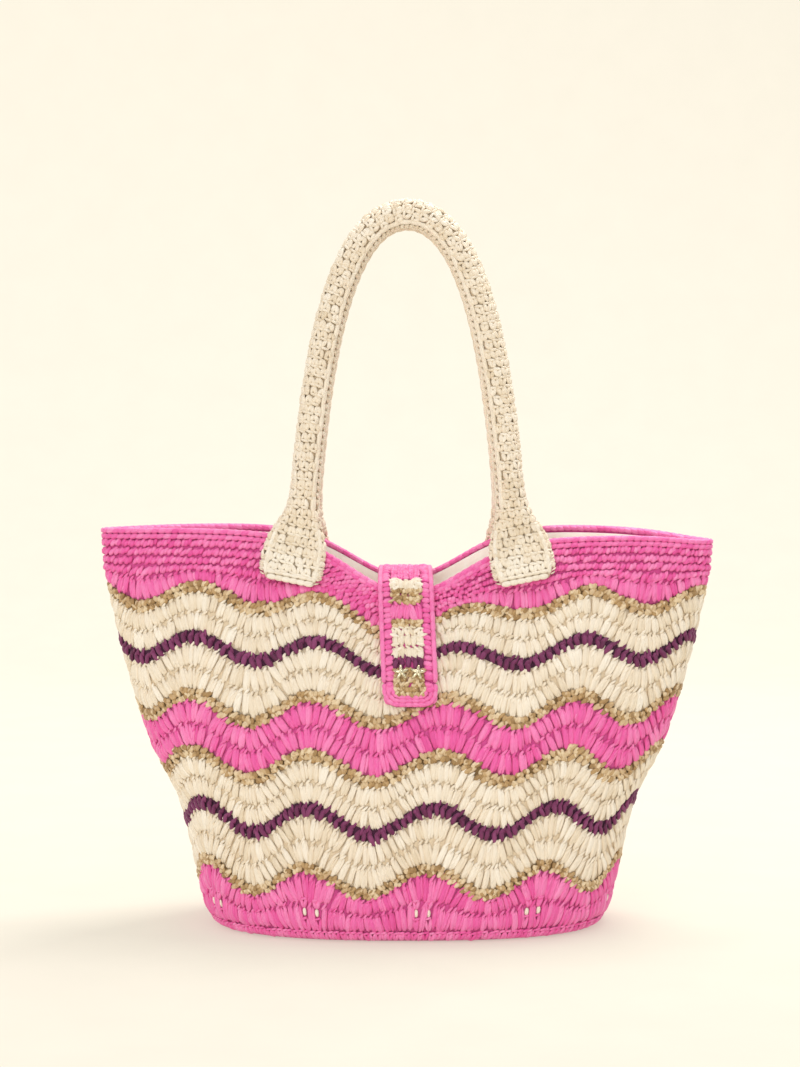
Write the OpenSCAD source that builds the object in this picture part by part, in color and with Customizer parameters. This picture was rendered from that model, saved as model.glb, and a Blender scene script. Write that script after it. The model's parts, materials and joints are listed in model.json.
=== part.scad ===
// Crocheted raffia beach bag: a striped body on an oval base, a fabric lining,
// two rope-cored handles on sewn pads, and a closure tab with a magnetic snap.
// Millimetres. +Z up, the front faces -Y, the origin is under the middle of the base.

/* [Body] */
// Height of the body at its sides, from the ground to the rim
body_h = 326; // [300:2:350]
// Width of the mouth
mouth_w = 502; // [470:2:530]
// Depth of the mouth, front to back, level with the top of the sides
mouth_d = 66; // [60:2:90]
// Width of the flat base
base_w = 306; // [280:2:330]
// Depth of the body where it is fullest, front to back
belly_d = 200; // [180:2:220]
// Thickness of the crocheted wall
wall_t = 4; // [3:0.5:4.5]
// How far the middle of the rim sags below its sides
rim_sag = 45; // [30:1:50]

/* [Stripes] */
// Number of waves round the bag
wave_count = 10; // [8:1:12]
// Height of a wave above and below its row
wave_h = 10.5; // [6:0.5:12]

/* [Lining] */
// Thickness of the lining fabric
lining_t = 1.5; // [1:0.25:2]
// Thickness of the stiff board under the lining
board_t = 2.5; // [2:0.5:3]

/* [Handles] */
// Height of the top of the handles above the ground
handle_top = 594; // [570:2:640]
// Distance between the two legs of a handle at the pads
leg_span = 168; // [150:2:180]
// Radius of a handle
handle_r = 11.5; // [10:0.5:13]
// Radius of the rope inside a handle
rope_r = 8; // [7:0.5:9]
// Width of a handle pad
pad_w = 53; // [46:1:58]
// Thickness of a handle pad
pad_t = 7; // [5:0.5:8]

/* [Closure] */
// Width of the closure tab
tab_w = 44; // [36:1:48]
// Thickness of the closure tab
tab_t = 4; // [3:0.5:5]
// Width of the edging round the tab
tab_edge = 8; // [6:0.5:9]
// Height of the bottom edge of the tab above the ground
tab_low = 187; // [170:1:200]
// Height of the magnetic snap above the ground
snap_z = 210; // [200:1:222]
// Diameter of the magnetic snap
snap_d = 18; // [14:1:20]

/* [Hidden] */

pink = "#EE5FA8";
cream = "#EFE2C6";
tan_raffia = "#B99660";
plum = "#6B2450";
lining_cloth = "#DDD3C8";
pale_gold = "#D9C9A0";

gap = 0.4;               // running gap between pieces that aren't sewn together
samples = 100;           // points round a band
lining_samples = 60;     // points round the lining
quarter_steps = 36;      // points that a quarter of a section is measured with
plate_t = 4;             // thickness of the crocheted base
lining_inset = wall_t + 1.5;
hem_inset = lining_inset + lining_t + 1;     // clear of the lining at the mouth's sharp ends too
hem_t = 1.2;
hem_h = 20;
sag_reach = 0.063;       // half-width of the sag, as a share of the way round
corner_sag = 4;          // how far the rim hangs at the two ends of the mouth
corner_reach = 0.045;
front_sag = 7.5;         // how much lower the front of the rim hangs than the rear
sag_start = 178;         // rows below this height stay level

// Shape of the sides: [share of the height, share of the way from the base's width to the
// mouth's, share of the way from the mouth's depth to the belly's, squareness of the section].
side_shape = [
    [0.000, 0.00, 0.82, 2.5], [0.018, 0.07, 0.91, 2.5], [0.055, 0.14, 0.97, 2.5],
    [0.153, 0.215, 1.00, 2.5], [0.307, 0.34, 0.955, 2.4], [0.460, 0.59, 0.806, 2.3],
    [0.610, 0.755, 0.61, 2.2], [0.767, 0.89, 0.358, 2.1], [0.920, 0.985, 0.12, 2.0],
    [1.000, 1.00, 0.00, 2.0]
];

// Height of the lower edge of each band on the bag's sides, from the base to the rim.
band_edges = [0, 46, 54, 92, 102, 134, 143, 179, 188, 226, 236, 268, 277, 320, body_h];
lining_top = band_edges[13] - 2;

width_table = [for (s = side_shape) [s[0] * body_h, base_w / 2 + s[1] * (mouth_w - base_w) / 2]];
depth_table = [for (s = side_shape) [s[0] * body_h, mouth_d / 2 + s[2] * (belly_d - mouth_d) / 2]];
square_table = [for (s = side_shape) [s[0] * body_h, s[3]]];
wave_table = [[0, 0], [10, 0], [46, 1], [190, 1], [277, 0.76], [300, 0], [body_h, 0]];

function half_width(z) = lookup(z, width_table);
function half_depth(z) = lookup(z, depth_table);
function squareness(z) = lookup(z, square_table);

// Distance of the outer wall from the middle plane at x, at a height.
function wall_depth(x, z) =
    let (n = squareness(z))
    half_depth(z) * pow(1 - pow(min(1, abs(x) / half_width(z)), n), 1 / n);

// A quarter of the section at a height, from the front's middle to the side, as [x, depth].
function quarter(z, inset) =
    let (w = half_width(z) - inset, d = half_depth(z) - inset, power = 2 / squareness(z))
    [for (k = [0:quarter_steps])
        let (t = 90 * k / quarter_steps) [w * pow(sin(t), power), d * pow(cos(t), power)]];

function running_length(pts) =
    [for (k = 0, s = 0; k < len(pts);
          s = s + (k + 1 < len(pts) ? norm(pts[k + 1] - pts[k]) : 0), k = k + 1) s];

// Point at an equal share of the quarter's length. share runs from 0 to 1.
function quarter_point(z, inset, share) =
    let (pts = quarter(z, inset), s = running_length(pts), here = share * s[quarter_steps])
    [lookup(here, [for (k = [0:quarter_steps]) [s[k], pts[k][0]]]),
     lookup(here, [for (k = [0:quarter_steps]) [s[k], pts[k][1]]])];

// Point on the wall at a share of the way round, from the front's middle towards +X.
function wall_point(turn, z, inset) =
    let (q = 4 * (turn - floor(turn)), right = q <= 2 ? 1 : -1, back = (q > 1 && q < 3) ? 1 : -1,
         share = q <= 1 ? q : (q <= 2 ? 2 - q : (q <= 3 ? q - 2 : 4 - q)),
         p = quarter_point(z, inset, share))
    [right * p[0], back * p[1], z];

// Height of a row that lies at height v on the sides: level rows wave, and sag near the middle.
function wave(turn, v) =
    wave_h * lookup(v, wave_table)
    * cos(360 * (wave_count * turn - 0.1 - 0.00105 * v) - 20 * sin(720 * turn));
function bell(turn, reach) = exp(-pow((2 * turn - round(2 * turn)) / 2 / reach, 2));
function sag(turn, v) =
    let (share = max(0, v - sag_start) / (body_h - sag_start),
         lopsided = 1 + 0.6 * sin(360 * turn), in_front = (1 + cos(360 * turn)) / 2)
    pow(share, 1.6) * (rim_sag * bell(turn, sag_reach)
        + lopsided * (corner_sag * bell(turn - 0.25, corner_reach) + front_sag * in_front));
function row_z(turn, v) = v + wave(turn, v) - sag(turn, v);

// A closed ring. loops holds one closed loop of points for each step round the bag.
module ring_solid(loops) {
    n = len(loops);
    m = len(loops[0]);
    function id(i, k) = (i % n) * m + (k % m);
    // The quads on the loop's last side split the other way, to match the band beneath.
    faces = [for (i = [0:n - 1], k = [0:m - 1])
        let (a = id(i, k), b = id(i, k + 1), c = id(i + 1, k + 1), d = id(i + 1, k))
        each (k == m - 1 ? [[a, b, d], [b, c, d]] : [[a, b, c], [a, c, d]])];
    polyhedron(points = [for (loop = loops) each loop], faces = faces);
}

// A ring of wall between insets from the outer surface, passing through rows at heights vs.
module wall_ring(vs, outer, inner, count) {
    last = len(vs) - 1;
    ring_solid([for (i = [0:count - 1])
        let (turn = i / count, zs = [for (v = vs) row_z(turn, v)])
        concat([for (z = zs) wall_point(turn, z, outer)],
               [for (k = [last:-1:0]) wall_point(turn, zs[k], inner)])]);
}

module band(number) {
    wall_ring([band_edges[number], band_edges[number + 1]], 0, wall_t, samples);
}

// The outline of a level section, for flat plates.
module section_outline(z, inset) {
    polygon([for (i = [0:samples - 1])
        let (p = wall_point(i / samples, z, inset)) [p[0], p[1]]]);
}

module level_plate(z, thickness, inset) {
    translate([0, 0, z]) linear_extrude(thickness) section_outline(z, inset);
}

// A closed sheet between two grids of points that have the same rows and columns. Seen from
// the front, columns run to the right and rows run up.
module sheet_solid(front, back) {
    rows = len(front);
    cols = len(front[0]);
    total = rows * cols;
    function id(r, c) = r * cols + c;
    grid = [for (r = [0:rows - 2], c = [0:cols - 2]) [id(r, c), id(r, c + 1), id(r + 1, c + 1), id(r + 1, c)]];
    rim = concat([for (c = [0:cols - 1]) id(0, c)], [for (r = [1:rows - 1]) id(r, cols - 1)],
                 [for (c = [cols - 2:-1:0]) id(rows - 1, c)], [for (r = [rows - 2:-1:1]) id(r, 0)]);
    sides = len(rim);
    faces = concat(
        [for (q = grid) each [[q[2], q[1], q[0]], [q[3], q[2], q[0]]]],
        [for (q = grid) each [[q[0], q[1], q[2]] + total * [1, 1, 1], [q[0], q[2], q[3]] + total * [1, 1, 1]]],
        [for (k = [0:sides - 1])
            let (a = rim[k], b = rim[(k + 1) % sides])
            each [[a, b, b + total], [a, b + total, a + total]]]);
    polyhedron(points = [for (g = [front, back]) each [for (row = g) each row]], faces = faces);
}

/* Pads. A pad's own frame: u across it, v up it from its lower edge, in the plane of the wall. */
pad_tilt = 11;
pad_lift = 1;                                   // gap between the wall's surface and the pad
pad_foot = [96, 283];                           // middle of the lower edge, as [x, z]
neck_z = 338;                                   // height at which the handle bends
neck_r = 7.5;                                   // radius of the rolled neck
neck_w = 28;
neck_x = leg_span / 2;
neck_y = wall_depth(neck_x, body_h) + pad_lift + pad_t / 2;
pad_width_table = [[0, 0.78], [3, 0.9], [8, 0.98], [20, 1], [32, 0.98], [42, 0.84], [52, 0.6]];
pad_rows = [0, 3, 8, 20, 32, 42, 52];
pad_cols = [-1, -0.6, -0.2, 0.2, 0.6, 1];

function pad_place(u, v) = [
    pad_foot[0] + u * cos(pad_tilt) - v * sin(pad_tilt),
    pad_foot[1] + u * sin(pad_tilt) + v * cos(pad_tilt)];
function pad_point(u, v, out) =
    let (p = pad_place(u, v))
    [p[0], -wall_depth(p[0], min(p[1], body_h)) - pad_lift - out, p[1]];

// Front right pad. The other three are mirrored from it.
module pad_shape() {
    function face(out) = [for (v = pad_rows) [for (c = pad_cols)
        pad_point(c * pad_w / 2 * lookup(v, pad_width_table), v, out)]];
    sheet_solid(face(pad_t), face(0));
    translate([neck_x - neck_w / 2, -neck_y, neck_z])
        rotate([0, 90, 0]) cylinder(r = neck_r, h = neck_w, $fn = 40);
}

// Whip stitches that hold a pad's edge down, each a short thread beside the edge.
stitch_r = 0.7;
stitch_count = 6;                               // on each side
stitch_pitch = 3;                               // the topmost stays below the rim, which sags here
module pad_stitch_set() {
    for (side = [-1, 1], k = [0:stitch_count - 1]) {
        v = 3 + stitch_pitch * k;
        u = side * (pad_w / 2 * lookup(v, pad_width_table) + 2 * stitch_r);
        p = pad_point(u, v, -0.3);
        translate(p) rotate([90, 0, 0]) cylinder(r = stitch_r, h = pad_t, $fn = 16);
    }
}

/* Handles. The middle line of half an arch is a Bezier curve, mirrored for the other half. */
cover_start = 9.5;                                // the cover starts this far above the bend
apex_z = handle_top - handle_r;
apex_y = handle_r + 1;
arch = [[neck_x, neck_z + cover_start], [neck_x - 8, 440], [61, apex_z], [0, apex_z]];
arch_steps = 12;
ring_sides = 16;
root_r = 3;                                     // half-thickness where the cover starts

function bezier(p, t) =
    pow(1 - t, 3) * p[0] + 3 * pow(1 - t, 2) * t * p[1] + 3 * (1 - t) * t * t * p[2] + pow(t, 3) * p[3];
function bezier_run(p, t) =
    pow(1 - t, 2) * (p[1] - p[0]) + 2 * (1 - t) * t * (p[2] - p[1]) + t * t * (p[3] - p[2]);
// How far the handle stands out from the middle plane at a height.
function lean_y(z) = neck_y + (apex_y - neck_y) * (z - neck_z) / (apex_z - neck_z);

// One ring of the right half: its middle, its radius along the arch's plane and across it.
function arch_ring(t, wide, thick) =
    let (c = bezier(arch, t), d = bezier_run(arch, t), n = [d[1], -d[0]] / norm(d))
    [for (k = [0:ring_sides - 1])
        let (a = 360 * k / ring_sides, x = c[0] + wide * cos(a) * n[0], z = c[1] + wide * cos(a) * n[1])
        [x, -lean_y(c[1]) - thick * sin(a), z]];

function flip_x(ring) = [for (p = ring) [-p[0], p[1], p[2]]];

// Rings of the whole arch, from the right leg over the top to the left leg.
function arch_rings(ts, wides, thicks) =
    let (half = [for (k = [0:len(ts) - 1]) arch_ring(ts[k], wides[k], thicks[k])], n = len(half))
    concat(half, [for (k = [n - 2:-1:0]) flip_x(half[k])]);

root_end = 0.09;                                // share of the half arch over which the cover swells
cover_ts = [0, 0.02, 0.05, root_end, for (k = [2:arch_steps]) k / arch_steps];
core_ts = [root_end, for (k = [2:arch_steps]) k / arch_steps];
function root_share(t) = min(1, t / root_end);
cover_wide = [for (t = cover_ts) handle_r + 2 * (1 - root_share(t))];
cover_thick = [for (t = cover_ts) root_r + (handle_r - root_r) * sin(90 * root_share(t))];

bore_wide = [for (t = cover_ts) rope_r + gap / 2];
bore_thick = [for (t = cover_ts) 1.2 + (rope_r + gap / 2 - 1.2) * sin(90 * root_share(t))];

// A hollow tube, open at both ends: each loop runs out along the arch and back inside it.
module front_cover_shape() {
    outer = arch_rings(cover_ts, cover_wide, cover_thick);
    inner = arch_rings(cover_ts, bore_wide, bore_thick);
    n = len(outer);
    ring_solid([for (k = [0:ring_sides - 1])
        concat([for (r = [0:n - 1]) outer[r][k]], [for (r = [n - 1:-1:0]) inner[r][k]])]);
}

module front_rope_shape() {
    rings = arch_rings(core_ts, [for (t = core_ts) rope_r], [for (t = core_ts) rope_r]);
    n = len(rings);
    m = ring_sides;
    walls = [for (r = [0:n - 2], k = [0:m - 1])
        let (a = r * m + k, b = r * m + (k + 1) % m) each [[a, b + m, b], [a, a + m, b + m]]];
    first = [for (k = [0:m - 1]) k];
    last = [for (k = [m - 1:-1:0]) (n - 1) * m + k];
    polyhedron(points = [for (ring = rings) each ring], faces = concat(walls, [first, last]));
}

/* Closure tab. Its bends are at the rear rim and at the front rim. */
bend_r = 3;                                     // radius of the rolled bends
strip_start = bend_r + 0.8;                     // a strip starts this far from its bend
front_rim = row_z(-0.02, body_h);               // the rim at the tab's edges
rear_rim = row_z(0.52, body_h);
// A bend's distance from the middle plane and its height, just outside and above the rim.
function bend_over(rim) = [half_depth(rim) + strip_start, rim + strip_start];
front_bend = bend_over(front_rim);
rear_bend = bend_over(rear_rim);
flap_gap = 3;                                   // between the wall and the tab's back
bridge_rise = 3;
sewn_drop = 30;                                 // length sewn to the rear wall
flap_top = front_bend[1] - strip_start;
tab_x = -1.5;                                   // the tab sits this far to one side
flap_lean = 4;                                  // sideways drift of the flap from top to bottom

// Point on the flap: x across it, z its height, out from the middle of its thickness.
function flap_point(x, z, out) =
    let (slope = half_depth(z - 4) - half_depth(z + 4), down = (flap_top - z) / (flap_top - tab_low),
         n = [0, -8, slope] / norm([0, 8, slope]))
    [x + tab_x + flap_lean * down, -half_depth(z) - flap_gap - tab_t / 2, z] + out * n;

flap_rows = 10;
inner_w = tab_w / 2 - tab_edge;
seam_gap = 0.3;                                 // between the flap and the edging round it
module flap_sheet(x_low, x_high, z_low, z_high, rows) {
    function face(out) = [for (r = [0:rows]) [for (x = [x_low, x_high])
        flap_point(x, z_low + (z_high - z_low) * r / rows, out)]];
    sheet_solid(face(tab_t / 2), face(-tab_t / 2));
}

// The edging runs down one side, round two soft corners and up the other side.
corner_r = 9;
function u_path(half, low, r) = concat(
    [for (k = [0:6]) [-half, flap_top + (low + r - flap_top) * k / 6]],
    [for (a = [15:15:90]) [-half + r - r * cos(a), low + r - r * sin(a)]],
    [for (a = [75:-15:0]) [half - r + r * cos(a), low + r - r * sin(a)]],
    [for (k = [5:-1:0]) [half, flap_top + (low + r - flap_top) * k / 6]]);

// Strip of the tab over the mouth, from the front bend to the rear one, arched up in the middle.
module bridge_shape() {
    steps = 8;
    reach = front_bend[0] + rear_bend[0];
    function face(out) = [for (k = [0:steps]) [for (x = [-tab_w / 2, tab_w / 2])
        let (y = 1 - front_bend[0] + (reach - 1 - strip_start) * k / steps, s = (y + front_bend[0]) / reach,
             z = front_bend[1] + (rear_bend[1] - front_bend[1]) * s)
        [x + tab_x, y, z + 4 * bridge_rise * s * (1 - s) + out]]];
    sheet_solid(face(tab_t / 2), face(-tab_t / 2));
    translate([tab_x - tab_w / 2, -front_bend[0], front_bend[1]]) rotate([0, 90, 0])
        cylinder(r = bend_r, h = tab_w, $fn = 32);
}

module sewn_end_shape() {
    steps = 4;
    function face(out) = [for (k = [0:steps]) [for (x = [tab_w / 2, -tab_w / 2])
        let (z = rear_rim - sewn_drop + (sewn_drop + 2) * k / steps) [x + tab_x, half_depth(z) + 1.5 + out, z]]];
    sheet_solid(face(tab_t), face(0));
    translate([tab_x - tab_w / 2, rear_bend[0], rear_bend[1]]) rotate([0, 90, 0])
        cylinder(r = bend_r, h = tab_w, $fn = 32);
}

snap_slope = atan((half_depth(snap_z - 10) - half_depth(snap_z + 10)) / 20);
snap_t = 1.1;
stud_x = 7;
stud_r = 6;                                     // length of a star's arm
stud_h = 2.2;
stud_taper = 0.45;                               // size of a star's top against its foot
// A five-armed outline: blunt tips at the arm's length, and notches between them
star = [for (k = [0:4]) for (p = [[-7, stud_r], [7, stud_r], [36, 0.44 * stud_r]])
    p[1] * [cos(90 + 72 * k + p[0]), sin(90 + 72 * k + p[0])]];
// Places a child on the wall's front at the snap, with +Z as the way out of the wall.
module at_snap(out) {
    x = flap_point(0, snap_z, 0)[0];
    translate([x, -half_depth(snap_z), snap_z]) rotate([90 - snap_slope, 0, 0]) translate([0, 0, out]) children();
}
flap_out = flap_gap * cos(snap_slope);          // distance from the wall to the tab's back, square to both

/* Sub-parts */
module base_panel() { color(pink) level_plate(0, plate_t, wall_t + 0.1); }
module base_band() { color(pink) wall_ring([0, 6, 18, band_edges[1]], 0, wall_t, samples); }
module tan_round_1() { color(tan_raffia) band(1); }
module cream_band_1() { color(cream) band(2); }
module plum_round_1() { color(plum) band(3); }
module cream_band_2() { color(cream) band(4); }
module tan_round_2() { color(tan_raffia) band(5); }
module middle_band() { color(pink) band(6); }
module tan_round_3() { color(tan_raffia) band(7); }
module cream_band_3() { color(cream) band(8); }
module plum_round_2() { color(plum) band(9); }
module cream_band_4() { color(cream) band(10); }
module tan_round_4() { color(tan_raffia) band(11); }
module top_band() { color(pink) wall_ring([band_edges[12], 300, band_edges[13]], 0, wall_t, samples); }
module rim_edging() { color(pink) wall_ring([band_edges[13], body_h], -0.6, wall_t + 0.6, samples); }

module base_board() { color("#C9B79A") level_plate(plate_t + 0.2, board_t, lining_inset + 0.5); }
module lining_floor() {
    color(lining_cloth) level_plate(plate_t + board_t + gap, lining_t, lining_inset + lining_t + gap);
}
module lining_wall() {
    color(lining_cloth)
        wall_ring([plate_t + board_t + gap, 30, 60, 100, 150, 200, 250, lining_top - hem_h, lining_top],
                  lining_inset, lining_inset + lining_t, lining_samples);
}
module lining_hem() {
    color(lining_cloth)
        wall_ring([lining_top - hem_h, lining_top], hem_inset, hem_inset + hem_t, lining_samples);
}

module front_right_pad() { color(cream) pad_shape(); }
module front_left_pad() { color(cream) mirror([1, 0, 0]) pad_shape(); }
module rear_right_pad() { color(cream) mirror([0, 1, 0]) pad_shape(); }
module rear_left_pad() { color(cream) mirror([0, 1, 0]) mirror([1, 0, 0]) pad_shape(); }
module pad_stitches() {
    color(tan_raffia)
        for (x = [0, 1], y = [0, 1]) mirror([x, 0, 0]) mirror([0, y, 0]) pad_stitch_set();
}

module front_handle_cover() { color(cream) front_cover_shape(); }
module front_handle_rope() { color("#D8CDB4") front_rope_shape(); }
module rear_handle_cover() { color(cream) mirror([0, 1, 0]) front_cover_shape(); }
module rear_handle_rope() { color("#D8CDB4") mirror([0, 1, 0]) front_rope_shape(); }

module tab_sewn_end() { color(pink) sewn_end_shape(); }
module tab_bridge() { color(pink) bridge_shape(); }
module tab_flap() {
    color(cream) flap_sheet(-inner_w + seam_gap, inner_w - seam_gap, tab_low + tab_edge + seam_gap, flap_top, flap_rows);
}
module tab_flap_edging() {
    outer = u_path(tab_w / 2, tab_low, corner_r);
    inner = u_path(inner_w, tab_low + tab_edge, corner_r - tab_edge);
    function face(out) = [for (k = [0:len(outer) - 1]) [for (p = [outer[k], inner[k]])
        flap_point(p[0], p[1], out)]];
    color(pink) sheet_solid(face(-tab_t / 2), face(tab_t / 2));
}
module tab_studs() {
    color(pale_gold) for (side = [-1, 1]) at_snap(flap_out + tab_t + 0.2) translate([side * stud_x, 0, 0]) {
        linear_extrude(height = stud_h, scale = stud_taper) polygon(star);
        translate([0, 0, -tab_t - 0.3]) cylinder(r = 1.2, h = tab_t + 0.4, $fn = 20);
    }
}
module tab_snap_half() {
    color(pale_gold) at_snap(flap_out - snap_t - 0.2) cylinder(d = snap_d, h = snap_t, $fn = 48);
}
module wall_snap_half() {
    color(pale_gold) at_snap(0.1) {
        cylinder(d = snap_d, h = snap_t, $fn = 48);
        for (side = [-1, 1]) translate([side * 4 - 0.6, -1.5, -wall_t - 0.4]) cube([1.2, 3, wall_t + 0.5]);
    }
}
module wall_snap_washer() {
    color(pale_gold) at_snap(-wall_t - 1.2) cylinder(d = snap_d - 2, h = 0.8, $fn = 48);
}

base_panel();
base_band();
tan_round_1();
cream_band_1();
plum_round_1();
cream_band_2();
tan_round_2();
middle_band();
tan_round_3();
cream_band_3();
plum_round_2();
cream_band_4();
tan_round_4();
top_band();
rim_edging();
base_board();
lining_floor();
lining_wall();
lining_hem();
front_left_pad();
front_right_pad();
rear_left_pad();
rear_right_pad();
pad_stitches();
front_handle_cover();
front_handle_rope();
rear_handle_cover();
rear_handle_rope();
tab_sewn_end();
tab_bridge();
tab_flap();
tab_flap_edging();
tab_studs();
tab_snap_half();
wall_snap_half();
wall_snap_washer();
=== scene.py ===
"""Crocheted raffia beach bag: striped body, base, lining, two rope-cored handles and a closure tab."""

import json
import math

import bpy
import numpy as np
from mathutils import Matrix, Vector


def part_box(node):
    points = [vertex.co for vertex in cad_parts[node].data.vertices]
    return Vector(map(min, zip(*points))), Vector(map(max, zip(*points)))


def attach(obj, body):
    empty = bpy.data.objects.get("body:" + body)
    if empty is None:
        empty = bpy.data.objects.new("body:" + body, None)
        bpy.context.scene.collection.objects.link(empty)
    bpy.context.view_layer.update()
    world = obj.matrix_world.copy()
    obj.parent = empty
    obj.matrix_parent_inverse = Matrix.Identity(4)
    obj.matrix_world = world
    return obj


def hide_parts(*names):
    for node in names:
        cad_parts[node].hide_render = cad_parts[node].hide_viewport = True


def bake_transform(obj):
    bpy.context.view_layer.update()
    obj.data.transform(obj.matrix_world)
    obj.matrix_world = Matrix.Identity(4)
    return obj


bl_info = {
    "name": "Crocheted beach bag",
    "version": (1, 0, 0),
    "blender": (4, 5, 0),
    "location": "View3D > Sidebar > Beach bag",
    "description": "Builds a crocheted raffia beach bag stitch by stitch around its packed frame",
    "category": "Add Mesh",
}

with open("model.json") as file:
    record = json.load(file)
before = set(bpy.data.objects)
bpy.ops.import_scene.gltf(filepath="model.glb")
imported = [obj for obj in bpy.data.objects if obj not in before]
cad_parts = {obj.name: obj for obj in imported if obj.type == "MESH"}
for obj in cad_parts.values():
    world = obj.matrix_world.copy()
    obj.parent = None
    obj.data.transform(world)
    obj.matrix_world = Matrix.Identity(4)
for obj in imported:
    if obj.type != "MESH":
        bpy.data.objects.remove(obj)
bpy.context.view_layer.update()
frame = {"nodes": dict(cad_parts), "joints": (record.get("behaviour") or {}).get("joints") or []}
MM = 0.001


def joint_place(name):
    """A point on a joint's axis."""
    return next(joint for joint in frame["joints"] if joint["name"] == name)["pos_m"]



# ---------------------------------------------------------------- shape of the body

WALL_T = 4 * MM
BASE_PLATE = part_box("base_panel")
BODY_H = 326 * MM
BASE_HALF_W = BASE_PLATE[1][0] + WALL_T + 0.1 * MM
MOUTH_HALF_W = 251 * MM
BELLY_HALF_D = 100 * MM
MOUTH_HALF_D = 33 * MM
LINING_TOP = 318 * MM
BASE_POWER = 2.5
SAG_START = 178 * MM
SAG_REACH = 0.063
CORNER_REACH = 0.045

# [share of the height, share of the way from the base's width to the mouth's, share of the way
# from the mouth's depth to the belly's, squareness of the section]
SIDE_SHAPE = np.array([
    [0.000, 0.00, 0.82, 2.5], [0.018, 0.07, 0.91, 2.5], [0.055, 0.14, 0.97, 2.5],
    [0.153, 0.215, 1.00, 2.5], [0.307, 0.34, 0.955, 2.4], [0.460, 0.59, 0.806, 2.3],
    [0.610, 0.755, 0.61, 2.2], [0.767, 0.89, 0.358, 2.1], [0.920, 0.985, 0.12, 2.0],
    [1.000, 1.00, 0.00, 2.0],
])

# Height of the lower edge of each band on the bag's sides.
BAND_EDGES = np.array([0, 46, 54, 92, 102, 134, 143, 179, 188, 226, 236, 268, 277, 320, 326]) * MM

# Height at which the waves grow and fade, and how much of their size they have there.
WAVE_HEIGHTS = np.array([0, 10, 46, 190, 277, 300, 326]) * MM
WAVE_SHARES = np.array([0, 0, 1, 1, 0.76, 0, 0])


def smooth_curve(x, xs, ys):
    """The cubic through the points (xs, ys) whose slope at each is the harmonic mean of the slopes beside
    it, so it never overshoots."""
    step, rise = np.diff(xs), np.diff(ys) / np.diff(xs)
    product = rise[1:] * rise[:-1]
    inner = np.where(product > 0, 2 * product / (rise[1:] + rise[:-1] + 1e-30), 0)
    slope = np.concatenate([[rise[0]], inner, [rise[-1]]])
    i = np.clip(np.searchsorted(xs, x, side="right") - 1, 0, len(xs) - 2)
    t = np.clip((x - xs[i]) / step[i], 0, 1)
    left = (1 + 2 * t) * (1 - t) ** 2 * ys[i] + t * (1 - t) ** 2 * slope[i] * step[i]
    return left + t * t * (3 - 2 * t) * ys[i + 1] + t * t * (t - 1) * slope[i + 1] * step[i]


def half_width(z):
    """Half of the body's width at a height: the side shape's second column between base and mouth."""
    share = smooth_curve(np.asarray(z) / BODY_H, SIDE_SHAPE[:, 0], SIDE_SHAPE[:, 1])
    return BASE_HALF_W + share * (MOUTH_HALF_W - BASE_HALF_W)


def half_depth(z):
    """Half of the body's depth at a height: the side shape's third column between mouth and belly."""
    share = smooth_curve(np.asarray(z) / BODY_H, SIDE_SHAPE[:, 0], SIDE_SHAPE[:, 2])
    return MOUTH_HALF_D + share * (BELLY_HALF_D - MOUTH_HALF_D)


def squareness(z):
    """Power of the superellipse at a height: 2 is an ellipse, and more is squarer."""
    return np.interp(np.asarray(z) / BODY_H, SIDE_SHAPE[:, 0], SIDE_SHAPE[:, 3])


def wall_depth(x, z):
    """Distance of the outer wall from the middle plane: d (1 - |x/w|^n)^(1/n)."""
    n = squareness(z)
    inside = np.clip(1 - np.minimum(np.abs(x) / half_width(z), 1) ** n, 0, 1)
    return half_depth(z) * inside ** (1 / n)


def wave(turn, v):
    """Height of the wave in a row: size(v) cos of wave_count turns, drifting with height and closer
    together at the sides."""
    sizes = bpy.context.scene.bag_sizes
    size = sizes.wave_height * np.interp(v, WAVE_HEIGHTS, WAVE_SHARES)
    angle = 2 * np.pi * (sizes.wave_count * turn - 0.1 - 0.00105 * v / MM)
    return size * np.cos(angle - math.radians(20) * np.sin(4 * np.pi * turn))


def bell(turn, reach):
    """exp(-(d / reach)^2), where d is how far a turn is from the nearest half turn."""
    return np.exp(-(((2 * turn - np.round(2 * turn)) / 2 / reach) ** 2))


def sag(turn, v):
    """How far a row hangs: bells at the front, the rear and the mouth's two ends, and the front a little
    lower, all growing towards the rim."""
    sizes = bpy.context.scene.bag_sizes
    share = np.clip((v - SAG_START) / (BODY_H - SAG_START), 0, None)
    lopsided = 1 + 0.6 * np.sin(2 * np.pi * turn)
    in_front = (1 + np.cos(2 * np.pi * turn)) / 2
    drop = sizes.corner_sag * bell(turn - 0.25, CORNER_REACH) + sizes.front_sag * in_front
    return share**1.6 * (sizes.rim_sag * bell(turn, SAG_REACH) + lopsided * drop)


def row_z(turn, v):
    """Height of a row at a share of the way round: its level plus its wave, less its sag."""
    return v + wave(turn, v) - sag(turn, v)


# ---------------------------------------------------------------- surfaces and meshes


def unit(vectors):
    """Each vector divided by its length."""
    return vectors / np.maximum(np.linalg.norm(vectors, axis=-1, keepdims=True), 1e-12)


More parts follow.
